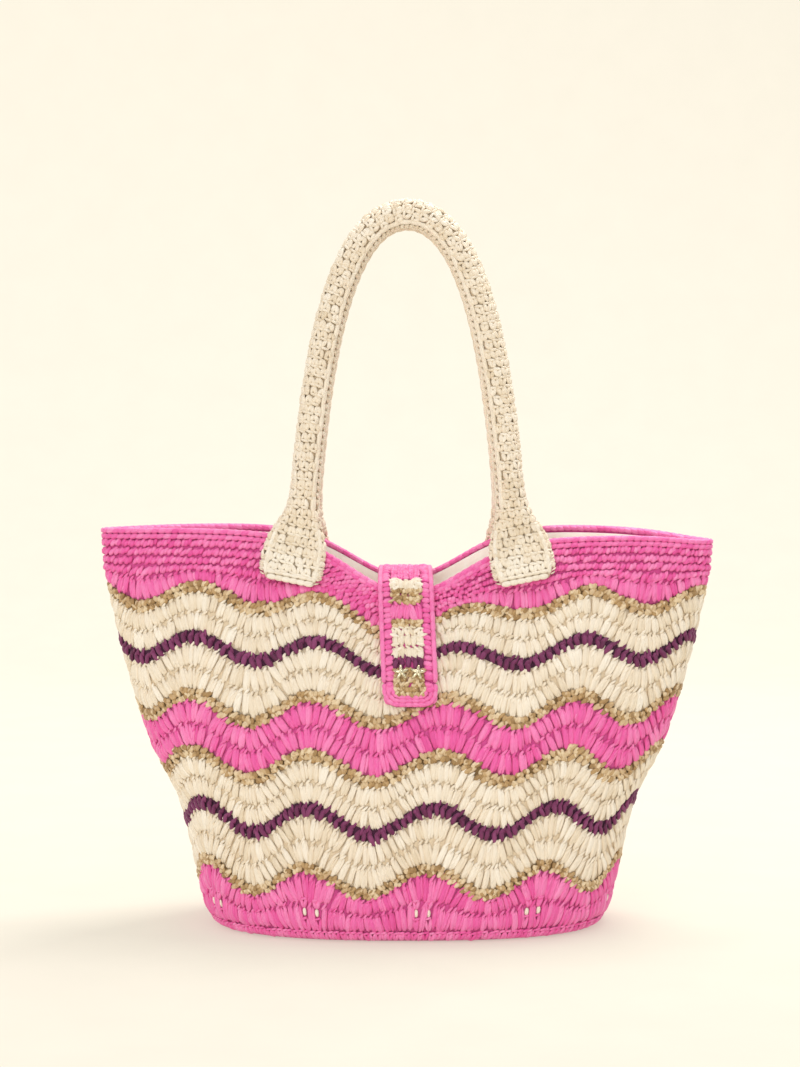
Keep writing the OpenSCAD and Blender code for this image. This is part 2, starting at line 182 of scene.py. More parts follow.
class Surface:
    """A sheet given by a grid of points, read between them by straight interpolation. points is
    [v, u, xyz]."""

    def __init__(self, points, u_range, v_range, wrap=False, flip=False):
        self.points, self.u_range, self.v_range = points, u_range, v_range
        padded = np.concatenate([points[:, -2:-1], points, points[:, 1:2]], axis=1) if wrap else points
        across = np.gradient(padded, axis=1)
        across = across[:, 1:-1] if wrap else across
        self.normals = unit(np.cross(across, np.gradient(points, axis=0))) * (-1 if flip else 1)
        self.wrap = wrap

    def sample(self, u, v):
        """(points, unit normals) at u, v, by bilinear interpolation in the grid."""
        rows, cols = self.points.shape[:2]
        x = (u - self.u_range[0]) / (self.u_range[1] - self.u_range[0])
        x = (np.mod(x, 1) if self.wrap else np.clip(x, 0, 1)) * (cols - 1)
        y = np.clip((v - self.v_range[0]) / (self.v_range[1] - self.v_range[0]), 0, 1) * (rows - 1)
        i, j = np.minimum(x.astype(int), cols - 2), np.minimum(y.astype(int), rows - 2)
        a, b = (x - i)[..., None], (y - j)[..., None]

        def blend(grid):
            low = grid[j, i] * (1 - a) + grid[j, i + 1] * a
            return low * (1 - b) + (grid[j + 1, i] * (1 - a) + grid[j + 1, i + 1] * a) * b

        return blend(self.points), unit(blend(self.normals))


def pairs(first, second):
    """Points [n, 2] of two coordinates. Either may be one number."""
    return np.stack(np.broadcast_arrays(first, second), axis=1)


def lengths_along(points):
    """How far each point is from the first one, along the line through them."""
    return np.concatenate([[0], np.cumsum(np.linalg.norm(np.diff(points, axis=0), axis=1))])


def even_points(line, count):
    """A line's points moved to equal steps along it. line is [k, 2], and a loop repeats its first
    point."""
    length = lengths_along(line)
    at = np.linspace(0, length[-1], count)
    return np.stack([np.interp(at, length, line[:, k]) for k in (0, 1)], axis=1)


def smooth_line(points, count, taps):
    """(even points, length) of a line whose corners are rounded by a Hann-weighted mean over taps
    points."""
    line, ends = even_points(points, count), taps // 2
    weights = np.hanning(taps + 2)[1:-1]
    before, after = 2 * line[:1] - line[ends:0:-1], 2 * line[-1:] - line[-2 : -2 - ends : -1]
    padded = np.concatenate([before, line, after])
    means = [np.convolve(padded[:, k], weights / weights.sum(), "valid") for k in (0, 1)]
    return np.stack(means, axis=1), lengths_along(points)[-1]


def section_loop(width, depth, power, count, steps=361):
    """Level section from the front's middle towards +X: (w sin^(2/n), -d cos^(2/n)), in equal steps of
    length."""
    t = np.linspace(0, 2 * np.pi, steps)
    x = width * np.sign(np.sin(t)) * np.abs(np.sin(t)) ** (2 / power)
    y = -depth * np.sign(np.cos(t)) * np.abs(np.cos(t)) ** (2 / power)
    return even_points(np.stack([x, y], axis=1), count)


def make_wall(inset=0.0, flip=False, top=12 * MM):
    """The body's side as a Surface of (turn, height), drawn in by inset."""
    heights = np.linspace(0, BODY_H + top, 170)
    loops = [
        section_loop(half_width(z) - inset, half_depth(z) - inset, squareness(z), 481)
        for z in np.minimum(heights, BODY_H)
    ]
    levels = np.repeat(heights[:, None], 481, axis=1)[..., None]
    points = np.concatenate([np.array(loops), levels], axis=2)
    return Surface(points, (0, 1), (0, heights[-1]), wrap=True, flip=flip)


class Parts:
    """Collects grids and strands, then makes them one mesh with a fibre direction and a tone on every
    vertex."""

    def __init__(self):
        self.points, self.fibre, self.tone = [], [], []
        self.faces = {3: [], 4: []}
        self.slots = {3: [], 4: []}
        self.count = 0

    def add(self, points, fibre, tone, quads, tris, slot):
        """Adds vertices [n, 3] with their attributes, and faces that count from this part's first
        vertex."""
        for size, faces in ((4, quads), (3, tris)):
            if len(faces):
                self.faces[size].append(faces + self.count)
                self.slots[size].append(np.full(len(faces), slot))
        self.points.append(points)
        self.fibre.append(fibre)
        self.tone.append(np.broadcast_to(tone, len(points)).astype(float))
        self.count += len(points)

    def shell(self, grid, slot=0, tone=0.5, closed=False):
        """A closed tube through the loops grid[i], each a closed loop of points. closed joins the last
        loop to the first, else poles close the ends."""
        n, m = grid.shape[:2]
        i, k = np.meshgrid(np.arange(n if closed else n - 1), np.arange(m), indexing="ij")
        after, beside = (i + 1) % n, (k + 1) % m
        quads = np.stack([i * m + k, i * m + beside, after * m + beside, after * m + k], axis=-1)
        quads = quads.reshape(-1, 4)
        points, tris = grid.reshape(-1, 3), np.empty((0, 3), int)
        if not closed:
            points = np.concatenate([points, grid[:1].mean(axis=1), grid[-1:].mean(axis=1)])
            k = np.arange(m)
            first = np.stack([(k + 1) % m, k, np.full(m, n * m)], axis=1)
            last = np.stack([(n - 1) * m + k, (n - 1) * m + (k + 1) % m, np.full(m, n * m + 1)], axis=1)
            tris = np.concatenate([first, last])
        corners = points[quads]
        fan = np.concatenate([corners[:, [0, 1, 2]], corners[:, [0, 2, 3]], points[tris]])
        if np.einsum("ij,ij->", fan[:, 0], np.cross(fan[:, 1], fan[:, 2])) < 0:
            quads, tris = quads[:, ::-1], tris[:, ::-1]
        run, girth = lengths_along(grid.mean(axis=1)), lengths_along(grid[n // 2])
        fibre = np.stack([*np.meshgrid(girth / MM, run / MM), np.zeros((n, m))], axis=-1).reshape(-1, 3)
        fibre = np.concatenate([fibre, np.zeros((len(points) - len(fibre), 3))])
        self.add(points, fibre, tone, quads, tris, slot)

    def strands(self, centre, normal, width, thick, tone, slot=0, sides=8):
        """Plump leaf-shaped strands along centre [n, r, 3]. Half-width and half-thickness follow
        sin(pi t)^0.45, so both ends are round."""
        n, r = centre.shape[:2]
        run = unit(np.gradient(centre, axis=1))
        side = unit(np.cross(run, normal))
        up = np.cross(side, run)
        t = np.linspace(0, 1, r)
        plump = np.sin(np.pi * np.clip(t, 0.02, 0.98)) ** 0.45
        a = 2 * np.pi * np.arange(sides) / sides
        w = (np.broadcast_to(width, n)[:, None] * plump)[:, 1:-1, None, None]
        h = (np.broadcast_to(thick, n)[:, None] * plump)[:, 1:-1, None, None]
        cos, sin = np.cos(a)[:, None], np.sin(a)[:, None]
        rings = centre[:, 1:-1, None] + side[:, 1:-1, None] * w * cos + up[:, 1:-1, None] * h * sin
        poles = centre[:, [0, -1]]
        block = (r - 2) * sides + 2
        points = np.concatenate([rings.reshape(n, -1, 3), poles], axis=1).reshape(-1, 3)
        j, k = np.meshgrid(np.arange(r - 3), np.arange(sides), indexing="ij")
        k1 = (k + 1) % sides
        quads = np.stack([j * sides + k, (j + 1) * sides + k, (j + 1) * sides + k1, j * sides + k1],
                         axis=-1)
        k, last = np.arange(sides), (r - 3) * sides
        ends = [np.stack([k, (k + 1) % sides, np.full(sides, block - 2)], axis=1),
                np.stack([last + (k + 1) % sides, last + k, np.full(sides, block - 1)], axis=1)]
        shift = (np.arange(n) * block)[:, None, None]
        length = np.linalg.norm(centre[:, -1] - centre[:, 0], axis=1) / MM
        along = (length[:, None, None] * t[1:-1, None] + 0 * a).reshape(n, -1)
        across = (w[..., 0] / MM * np.cos(a) + 0 * along[:, :1, None]).reshape(n, -1)
        along = np.concatenate([along, np.zeros((n, 1)), length[:, None]], axis=1)
        across = np.concatenate([across, np.zeros((n, 2))], axis=1)
        seed = np.broadcast_to((np.arange(n) * 7.31)[:, None] % 97, across.shape)
        fibre = np.stack([across, along, seed], axis=-1).reshape(-1, 3)
        self.add(points, fibre, np.repeat(np.broadcast_to(tone, n), block),
                 (quads.reshape(1, -1, 4) + shift).reshape(-1, 4),
                 (np.concatenate(ends)[None] + shift).reshape(-1, 3), slot)

    def lay(self, surface, start, end, width, thick, tone, lift=0.0, bulge=0.8 * MM, slot=0, rings=6,
            sides=6, sway=0.0):
        """Strands over a surface from start to end in (u, v), raised by lift + bulge sin(pi t) and bent
        sideways by sway sin(pi t)."""
        t = np.linspace(0, 1, rings + 2)
        arc = np.sin(np.pi * t)
        uv = start[:, None] * (1 - t)[:, None] + end[:, None] * t[:, None]
        points, normals = surface.sample(uv[..., 0], uv[..., 1])
        count = len(start)
        raised = np.broadcast_to(lift, count)[:, None] + np.broadcast_to(bulge, count)[:, None] * arc
        side = unit(np.cross(points[:, -1] - points[:, 0], normals[:, 0]))[:, None]
        bent = (np.broadcast_to(sway, count)[:, None] * arc)[..., None]
        self.strands(points + normals * raised[..., None] + side * bent, normals, width, thick, tone,
                     slot, sides)

    def build(self, name, materials):
        """One object at the origin, with its mesh in place, smooth, and its faces' material slots set."""
        mesh = bpy.data.meshes.new(name)
        points = np.concatenate(self.points)
        faces = [np.concatenate([np.empty((0, size), int), *self.faces[size]]) for size in (4, 3)]
        slots = [np.concatenate([np.empty(0, int), *self.slots[size]]) for size in (4, 3)]
        corners = np.concatenate([f.ravel() for f in faces])
        starts = np.concatenate([np.arange(len(faces[0])) * 4,
                                 len(faces[0]) * 4 + np.arange(len(faces[1])) * 3])
        mesh.vertices.add(len(points))
        mesh.vertices.foreach_set("co", points.astype(np.float32).ravel())
        mesh.loops.add(len(corners))
        mesh.loops.foreach_set("vertex_index", corners.astype(np.int32))
        mesh.polygons.add(len(starts))
        mesh.polygons.foreach_set("loop_start", starts.astype(np.int32))
        mesh.polygons.foreach_set("material_index", np.concatenate(slots).astype(np.int32))
        mesh.update(calc_edges=True)
        mesh.polygons.foreach_set("use_smooth", np.ones(len(starts), bool))
        mesh.attributes.new("fibre", "FLOAT_VECTOR", "POINT").data.foreach_set(
            "vector", np.concatenate(self.fibre).astype(np.float32).ravel())
        mesh.attributes.new("tone", "FLOAT", "POINT").data.foreach_set(
            "value", np.concatenate(self.tone).astype(np.float32))
        for material in materials:
            mesh.materials.append(material)
        if mesh.validate():
            raise RuntimeError(f"{name}: the mesh had faults")
        obj = bpy.data.objects.new(name, mesh)
        bpy.context.scene.collection.objects.link(obj)
        return obj


def place(obj, body, slot, *nodes):
    """Says which body a piece rides on (None for one that rides on no body) and hides the CAD nodes it
    stands for. slot, its finish, is not used."""
    if body:
        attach(obj, body)
    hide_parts(*nodes)


# ---------------------------------------------------------------- materials


def linear(hex_colour):
    """An sRGB hex colour as linear RGBA."""
    channels = [int(hex_colour[i : i + 2], 16) / 255 for i in (1, 3, 5)]
    return tuple(c / 12.92 if c <= 0.04045 else ((c + 0.055) / 1.055) ** 2.4 for c in channels) + (1.0,)


def set_inputs(tree, node, inputs):
    """Sets each of a node's inputs, given by name or number, or links it where the value is a socket."""
    for key, value in inputs.items():
        if isinstance(value, bpy.types.NodeSocket):
            tree.links.new(value, node.inputs[key])
        else:
            node.inputs[key].default_value = value


def add_node(tree, kind, inputs=None, **settings):
    """Adds a node with its settings and inputs."""
    node = tree.nodes.new("ShaderNode" + kind)
    for key, value in settings.items():
        setattr(node, key, value)
    set_inputs(tree, node, inputs or {})
    return node


def noise(tree, vector, scale, detail, **inputs):
    """The value of a noise texture."""
    values = {"Vector": vector, "Scale": scale, "Detail": detail, **inputs}
    return add_node(tree, "TexNoise", values).outputs["Fac"]


def arithmetic(tree, operation, *values):
    """The result of a sum or product of values."""
    return add_node(tree, "Math", dict(enumerate(values)), operation=operation).outputs[0]


def map_range(tree, value, before, after):
    """A value moved in proportion from the range before to the range after."""
    ends = {"From Min": before[0], "From Max": before[1], "To Min": after[0], "To Max": after[1]}
    return add_node(tree, "MapRange", {"Value": value, **ends}).outputs["Result"]


def bump(tree, height, strength, distance):
    """The surface's normal, tilted by the slope of a height."""
    values = {"Height": height, "Strength": strength, "Distance": distance}
    return add_node(tree, "Bump", values).outputs["Normal"]


def place_in_bag(tree):
    """The point's place in metres, since every piece's origin is the bag's."""
    return add_node(tree, "TexCoord").outputs["Object"]


def fibre_place(tree):
    """The point's place in mm across and along its own strand or cloth."""
    return add_node(tree, "Attribute", attribute_name="fibre").outputs["Vector"]


def new_material(name):
    """(material, its node tree, its shader), with the nodes cleared down to shader and output."""
    material = bpy.data.materials.get(name)
    if material is None:
        material = bpy.data.materials.new(name)
    material.use_nodes = True
    tree = material.node_tree
    tree.nodes.clear()
    shader = add_node(tree, "BsdfPrincipled")
    add_node(tree, "OutputMaterial", {"Surface": shader.outputs["BSDF"]})
    return material, tree, shader


def ramp(tree, factor, stops):
    """The colour at a factor on a ramp through (position, hex colour) stops."""
    node = add_node(tree, "ValToRGB", {"Fac": factor})
    while len(node.color_ramp.elements) < len(stops):
        node.color_ramp.elements.new(0.5)
    for element, (position, colour) in zip(node.color_ramp.elements, stops):
        element.position, element.color = position, linear(colour)
    return node.outputs["Color"]


def raffia(name, deep, mid, light, streak=0.5, roughness=0.5):
    """Paper raffia, a flat ribbon crumpled into a cord: long fibres give lengthwise streaks with a
    satin shine, and each strand takes the dye a little differently."""
    found = bpy.data.materials.get(name)
    if found:
        return found
    material, tree, shader = new_material(name)
    tone = add_node(tree, "Attribute", attribute_name="tone").outputs["Fac"]
    # Fibres about 0.5 mm wide and 8 mm long, drawn coarse enough to show.
    stretch = {"Vector": fibre_place(tree), "Scale": (1.0, 0.12, 1.0)}
    along = add_node(tree, "Mapping", stretch).outputs["Vector"]
    streaks = noise(tree, along, 1.9, 3.0, Roughness=0.6)
    creases = noise(tree, along, 3.4, 2.0)
    # The dye varies over a few centimetres of ball.
    patches = noise(tree, place_in_bag(tree), 38.0, 2.0)
    dye = arithmetic(tree, "MULTIPLY", streaks, streak)
    dye = arithmetic(tree, "MULTIPLY_ADD", tone, 0.62, dye)
    dye = arithmetic(tree, "MULTIPLY_ADD", patches, 0.16, dye)
    set_inputs(tree, shader, {
        "Base Color": ramp(tree, dye, [(0.12, deep), (0.5, mid), (0.92, light)]),
        "Roughness": map_range(tree, streaks, (0.3, 0.7), (roughness - 0.09, roughness + 0.12)),
        "Normal": bump(tree, arithmetic(tree, "ADD", streaks, creases), 0.7, 0.8 * MM),
        "IOR": 1.5,
        "Specular IOR Level": 0.42,
        "Sheen Weight": 0.12,
        "Sheen Roughness": 0.4,
    })
    return material


def woven_cloth(name, dark, light):
    """Plain-woven cotton lining: fine crossed threads, quite matt, with faint slubs."""
    material, tree, shader = new_material(name)
    fibre = fibre_place(tree)
    # Threads are about 0.4 mm apart, drawn at 1.1 mm so that the weave shows.
    thread = {"Vector": fibre, "Scale": 0.45, "Distortion": 0.6, "Detail": 1.0, "Detail Scale": 2.0}
    waves = [
        add_node(tree, "TexWave", thread, bands_direction=axis).outputs["Fac"]
        for axis in ("X", "Y")
    ]
    weave = arithmetic(tree, "MULTIPLY", *waves)
    shade = arithmetic(tree, "MULTIPLY_ADD", weave, 0.35, noise(tree, fibre, 0.09, 4.0))
    colour = ramp(tree, shade, [(0.3, dark), (0.85, light)])
    set_inputs(tree, shader, {
        "Base Color": colour,
        "Roughness": 0.85,
        "Normal": bump(tree, weave, 0.3, 0.2 * MM),
        "Sheen Weight": 0.2,
        # Painted light: the cloth glows faintly in its own colour, standing in for daylight that comes
        # through the open stitches and the thin cloth.
        "Emission Color": colour,
        "Emission Strength": 0.10,
    })
    return material


def plated_metal(name, dull, bright):
    """Die-cast zinc with a pale gold plating: polished on the crowns, with fine handling marks."""
    material, tree, shader = new_material(name)
    # Handling marks a few tenths of a millimetre across.
    marks = noise(tree, place_in_bag(tree), 900.0, 3.0)
    set_inputs(tree, shader, {
        "Base Color": ramp(tree, marks, [(0.2, dull), (0.8, bright)]),
        "Roughness": map_range(tree, marks, (0.35, 0.7), (0.16, 0.34)),
        "Metallic": 1.0,
    })
    return material


def twisted_rope(name):
    """Three-strand cotton rope: slanting strands and soft fuzz."""
    material, tree, shader = new_material(name)
    slant = {"Vector": place_in_bag(tree), "Rotation": (0, 0.7, 0.5)}
    turned = add_node(tree, "Mapping", slant).outputs["Vector"]
    # One strand every 9 mm along the rope.
    lay = add_node(tree, "TexWave", {"Vector": turned, "Scale": 35.0, "Distortion": 1.0}).outputs["Fac"]
    set_inputs(tree, shader, {
        "Base Color": ramp(tree, lay, [(0.1, "#B7AA8C"), (0.8, "#E4DAC0")]),
        "Roughness": 0.9,
        "Normal": bump(tree, lay, 0.8, 1.5 * MM),
    })
    return material


def pressed_board(name):
    """Grey-brown bag board: pressed fibre with flecks and a dull face."""
    material, tree, shader = new_material(name)
    # Flecks about 2 mm long.
    flecks = noise(tree, place_in_bag(tree), 420.0, 5.0)
    set_inputs(tree, shader, {
        "Base Color": ramp(tree, flecks, [(0.35, "#A8977A"), (0.7, "#CDBB9C")]),
        "Roughness": 0.8,
        "Normal": bump(tree, flecks, 0.2, 0.3 * MM),
    })
    return material


def yarn(colour):
    """(face yarn, the same yarn in the shade between stitches) for a colour of raffia."""
    shades = {
        "pink": (("#DC4490", "#F05FA9", "#FC92C6"), ("#C23A80", "#D44C94", "#E264A8")),
        "cream": (("#DAC6A5", "#F0E0C7", "#FBF1E0"), ("#D5BE9B", "#E3CFB0", "#EEDDC3")),
        "tan": (("#7C5C34", "#BE9A68", "#EAD3AE"), ("#6B5232", "#83673F", "#9A7D52")),
        "plum": (("#451031", "#6B204D", "#8E3E6E"), ("#300B22", "#431536", "#55203F")),
    }
    face, shade = shades[colour]
    return [
        raffia(f"{colour}_raffia_yarn", *face),
        raffia(f"{colour}_raffia_in_shade", *shade, streak=0.4, roughness=0.7),
    ]


# ---------------------------------------------------------------- stitches


def turn_length(z):
    """Length of one turn round the wall at a height, by Ramanujan's ellipse formula, a little more for
    the squareness."""
    a, b = half_width(z), half_depth(z)
    ellipse = np.pi * (3 * (a + b) - np.sqrt((3 * a + b) * (a + 3 * b)))
    return ellipse * (1 + 0.09 * (squareness(z) - 2))


# The strands of each stitch. Each starts and ends at shares of half the row's height, up, and of the
# stitch's pitch, sideways. Then come its half-width as a share of the pitch, and in mm its
# half-thickness, its lift above the surface at its ends and how much more its middle bulges.
STITCHES = {
    # Double crochet: a plump post, and the plies of its yarn that wind round it slantwise.
    "post": [
        (-1.22, -0.06, 1.02, -0.10, 0.46, 1.60, -0.8, 1.3),
        (-1.05, 0.38, 0.90, 0.36, 0.31, 1.35, -0.8, 1.1),
        (-0.85, -0.34, 0.10, 0.16, 0.17, 0.85, 0.30, 0.6),
        (-0.15, -0.36, 0.72, 0.24, 0.17, 0.90, 0.40, 0.6),
        (0.50, -0.52, 1.18, 0.42, 0.22, 1.10, -0.2, 0.6),
    ],
    # Single crochet: an uneven V and the head that lies along the row.
    "short": [
        (-1.15, -0.05, 0.75, -0.42, 0.31, 1.35, -0.6, 0.9),
        (-1.10, 0.06, 0.95, 0.46, 0.34, 1.45, -0.5, 1.0),
        (0.62, -0.62, 0.98, 0.66, 0.22, 1.15, 0.1, 0.5),
    ],
    # Single crochet worked tightly, so that its strands lean along the round and the row is one ridge.
    "ridge": [
        (-0.98, -0.66, 0.62, 0.12, 0.36, 1.70, -0.5, 1.4),
        (-0.70, 0.00, 0.95, 0.62, 0.33, 1.50, -0.5, 1.2),
    ],
    # A knobbly single crochet in heavier yarn: two beads below and two short plies above.
    "knot": [
        (-1.30, -0.34, -0.02, 0.10, 0.40, 1.60, -0.5, 1.0),
        (-1.15, 0.22, 0.10, 0.52, 0.34, 1.35, -0.6, 0.9),
        (-0.30, -0.06, 1.12, -0.42, 0.37, 1.45, -0.5, 1.0),
        (-0.25, 0.02, 1.15, 0.50, 0.37, 1.40, -0.4, 1.0),
        (-0.85, 0.44, 0.05, -0.20, 0.20, 0.95, 0.5, 0.7), (0.10, -0.44, 0.95, 0.22, 0.20, 0.95, 0.5, 0.7),
    ],
    # A drop that hangs over the row below, between short spikes that reach up into the row above.
    "drop": [
        (-1.50, 0.14, 0.60, -0.10, 0.40, 1.75, -0.6, 1.5),
        (-0.35, -0.46, 0.85, 0.34, 0.30, 1.25, -0.2, 0.8),
        (-0.20, 0.30, 1.55, 0.50, 0.22, 1.10, -0.5, 0.7),
    ],
}
# How disorderly each kind of stitch is: the spread of its lean, of its height in the row, of its tone,
# and of the tones of the strands inside it.
DISORDER = {
    "post": (0.13, 0.09, 0.17, 0.10),
    "short": (0.10, 0.06, 0.16, 0.08),
    "ridge": (0.14, 0.09, 0.17, 0.14),
    "knot": (0.30, 0.16, 0.12, 0.38),
    "drop": (0.20, 0.16, 0.15, 0.14),
}


def lay_stitches(parts, surface, kind, u, v, half, pitch, length, rng, slope=0.0, slot=0, tone=0.5,
                 way=1):
    """One stitch at each (u, v): half is half the row's height, length the real length of one u, and way
    -1 turns it over."""
    n = len(u)
    sway, climb, mottle, grain = DISORDER[kind]
    size = rng.uniform(0.88, 1.14, n)
    lean = rng.normal(0, sway, n)
    own_tone = tone + rng.normal(0, mottle, n)
    u = u + rng.uniform(-0.09, 0.09, n) * pitch / length
    v = v + rng.normal(0, climb, n) * half

    def at(up, sideways):
        rise = up * half * way
        shift = (sideways + lean * up) * pitch * way - slope * rise
        return pairs(u + shift / length, v + rise)

    for up0, side0, up1, side1, wide, thick, lift, bulge in STITCHES[kind]:
        long_one = up1 - up0 > 1.2
        parts.lay(surface, at(up0 + rng.normal(0, 0.06, n), side0),
                  at(up1, side1 + rng.normal(0, 0.06, n)), wide * pitch * size, thick * MM,
                  np.clip(own_tone + rng.normal(0, grain, n), 0, 1),
                  lift=(lift + rng.normal(0, 0.14, n)) * MM,
                  bulge=(bulge + rng.normal(0, 0.12, n)) * MM, slot=slot, rings=6 if long_one else 4,
                  sway=rng.normal(0, 0.3, n) * MM if long_one else 0.0)


def wall_row(parts, kind, low, high, count, offset, rng, gaps=None):
    """A round of stitches on the body's outside between two row heights. gaps(turn) is False where a
    stitch is missed."""
    turn = (np.arange(count) + offset) / count
    turn = turn[gaps(turn)] if gaps else turn
    middle, step = (low + high) / 2, 0.002
    bottom, top = row_z(turn, low), row_z(turn, high)
    length = turn_length(row_z(turn, middle))
    slope = 0.85 * (row_z(turn + step, middle) - row_z(turn - step, middle)) / (2 * step * length)
    lay_stitches(parts, WALLS["outer"], kind, turn, (bottom + top) / 2,
                 (top - bottom) / 2 / (1 + slope**2),
                 length / count, length, rng, slope)


def band_backing(parts, v0, v1, outer=0.8 * MM):
    """The shade behind a band: a ring from just under the stitches to the wall's inner face."""
    turns = np.arange(480) / 480
    rows = np.linspace(v0, v1, 6)
    outside, inside = WALLS["outer"], WALLS["inner"]
    grid_u, grid_v = np.meshgrid(turns, rows, indexing="ij")
    z = row_z(grid_u, grid_v)
    front, normal = outside.sample(grid_u, z)
    back, _ = inside.sample(grid_u, z)
    parts.shell(np.concatenate([front - normal * outer, back[:, ::-1]], axis=1), slot=IN_SHADE,
                closed=True)


# The body's wall as Surfaces, filled in by main.
WALLS = {}
# Slot of the yarn in the shade between stitches. The yarn of the face is slot 0.
IN_SHADE = 1
# Rows of the short stitches below and above each eyelet.
EYELET_ROWS = [(9.5 * MM, 19 * MM), (24 * MM, 30.5 * MM)]


# How far the stitches of a round are moved on from those of the round below, in stitches.
ROUND_SHIFT = 0.37


def band_rows():
    """{node: (yarn colour, [(kind of stitch, lower edge, upper edge)])}."""
    edges = BAND_EDGES
    names = ["base_band", "tan_round_1", "cream_band_1", "plum_round_1", "cream_band_2", "tan_round_2",
             "middle_band", "tan_round_3", "cream_band_3", "plum_round_2", "cream_band_4", "tan_round_4"]
    found = {}
    for name, low, high in zip(names, edges, edges[1:]):
        middle = (low + high) / 2
        if name == "base_band":
            found[name] = ("pink", [("short", 1.5 * MM, 9.5 * MM), ("post", 9.5 * MM, 28 * MM),
                                    ("post", 28 * MM, high)])
        elif name.startswith("tan"):
            found[name] = ("tan", [("knot", low, high)])
        elif name.startswith("plum"):
            found[name] = ("plum", [("drop", low, high)])
        else:
            colour = "cream" if name.startswith("cream") else "pink"
            found[name] = (colour, [("post", low, middle), ("post", middle, high)])
    level = np.linspace(291 * MM, edges[13], 5)
    top = [("post", edges[12], level[0])] + [("ridge", a, b) for a, b in zip(level, level[1:])]
    found["top_band"] = ("pink", top)
    return found


def off_eyelets(turn):
    """False for the stitches missed on either side of each wave's crest, which leave a pair of
    eyelets."""
    sizes = bpy.context.scene.bag_sizes
    phase = np.mod(sizes.wave_count * (turn - 0.5 / sizes.stitches) - 0.13 + 0.5, 1) - 0.5
    return np.abs(np.abs(phase) * sizes.stitches / sizes.wave_count - 1) > 0.5


class BAG_OT_bands(bpy.types.Operator):
    """Crochet the striped wall, one piece for each band of colour"""

    bl_idname = "bag.bands"
    bl_label = "Striped bands"

    def execute(self, context):
        sizes = context.scene.bag_sizes
        for number, (node, (colour, rows)) in enumerate(band_rows().items()):
            rng = np.random.default_rng(100 + number)
            parts = Parts()
            band_backing(parts, BAND_EDGES[number], BAND_EDGES[number + 1])
            for k, (kind, low, high) in enumerate(rows):
                gaps = off_eyelets if node == "base_band" and k == 1 else None
                wall_row(parts, kind, low, high, sizes.stitches, ROUND_SHIFT * (3 * number + k), rng,
                         gaps)
            if node == "base_band":
                self.eyelets(parts, sizes.stitches, ROUND_SHIFT, rng)
            piece = parts.build(f"{node}_crochet", [*yarn(colour), yarn("cream")[0]])
            place(piece, "bag", f"{colour}_raffia", node)
        return {"FINISHED"}

    def eyelets(self, parts, count, offset, rng):
        """Fills a missed post with a short stitch below and above its hole, where the pale lining
        shows."""
        def on_eyelets(turn):
            return ~off_eyelets(turn)

        for low, high in EYELET_ROWS:
            wall_row(parts, "short", low, high, count, offset, rng, on_eyelets)
        turn = (np.arange(count) + offset) / count
        turn = turn[on_eyelets(turn)]
        bottom, top = EYELET_ROWS[0][1] - 0.5 * MM, EYELET_ROWS[1][0] + 0.5 * MM
        low, high = pairs(turn, row_z(turn, bottom)), pairs(turn, row_z(turn, top))
        parts.lay(WALLS["outer"], low, high, rng.uniform(1.5, 2.1, len(turn)) * MM, 0.8 * MM, 0.8,
                  lift=-0.2 * MM,
                  bulge=0.4 * MM, slot=2, rings=4)


class BAG_OT_rim(bpy.types.Operator):
    """Work the slip-stitched edging over the rim"""

    bl_idname = "bag.rim"
    bl_label = "Rim edging"

    def execute(self, context):
        sizes = context.scene.bag_sizes
        rng = np.random.default_rng(31)
        parts = Parts()
        band_backing(parts, BAND_EDGES[13], BAND_EDGES[14], outer=1.0 * MM)
        count = sizes.stitches
        for wall, levels, lift in (
            (WALLS["outer"], (321.6, 326.2), 0.3 * MM),
            (WALLS["inner_face"], (326.0,), 0.1 * MM),
        ):
            for level in levels:
                turn = (np.arange(count) + rng.uniform(0, 1)) / count
                start = pairs(turn, row_z(turn, (level - 1.0) * MM))
                turn = turn + 1.55 / count
                end = pairs(turn, row_z(turn, (level + 1.0) * MM))
                parts.lay(wall, start, end, 2.3 * MM, 1.8 * MM,
                          np.clip(rng.normal(0.55, 0.15, count), 0, 1),
                          lift=lift, bulge=0.4 * MM)
        # The chain of loops along the very top.
        for inset in (1.1 * MM, 3.1 * MM):
            turn = (np.arange(count) + rng.uniform(0, 1)) / count
            t = np.linspace(0, 1, 8)
            across = turn[:, None] + 1.5 / count * t
            outer, _ = WALLS["outer"].sample(across, row_z(across, BODY_H))
            inner, _ = WALLS["inner"].sample(across, row_z(across, BODY_H))
            share = inset / WALL_T + 0.12 * (t - 0.5)
            centre = outer * (1 - share[:, None]) + inner * share[:, None]
            centre = centre + np.array([0, 0, 1.0]) * (0.6 * MM + 0.7 * MM * np.sin(np.pi * t))[:, None]
            up = np.broadcast_to([0, 0, 1.0], centre.shape)
            parts.strands(centre, up, 1.6 * MM, 1.4 * MM, np.clip(rng.normal(0.6, 0.15, count), 0, 1))
        piece = parts.build("rim_edging_crochet", yarn("pink"))
        place(piece, "bag", "pink_raffia", "rim_edging")
        return {"FINISHED"}


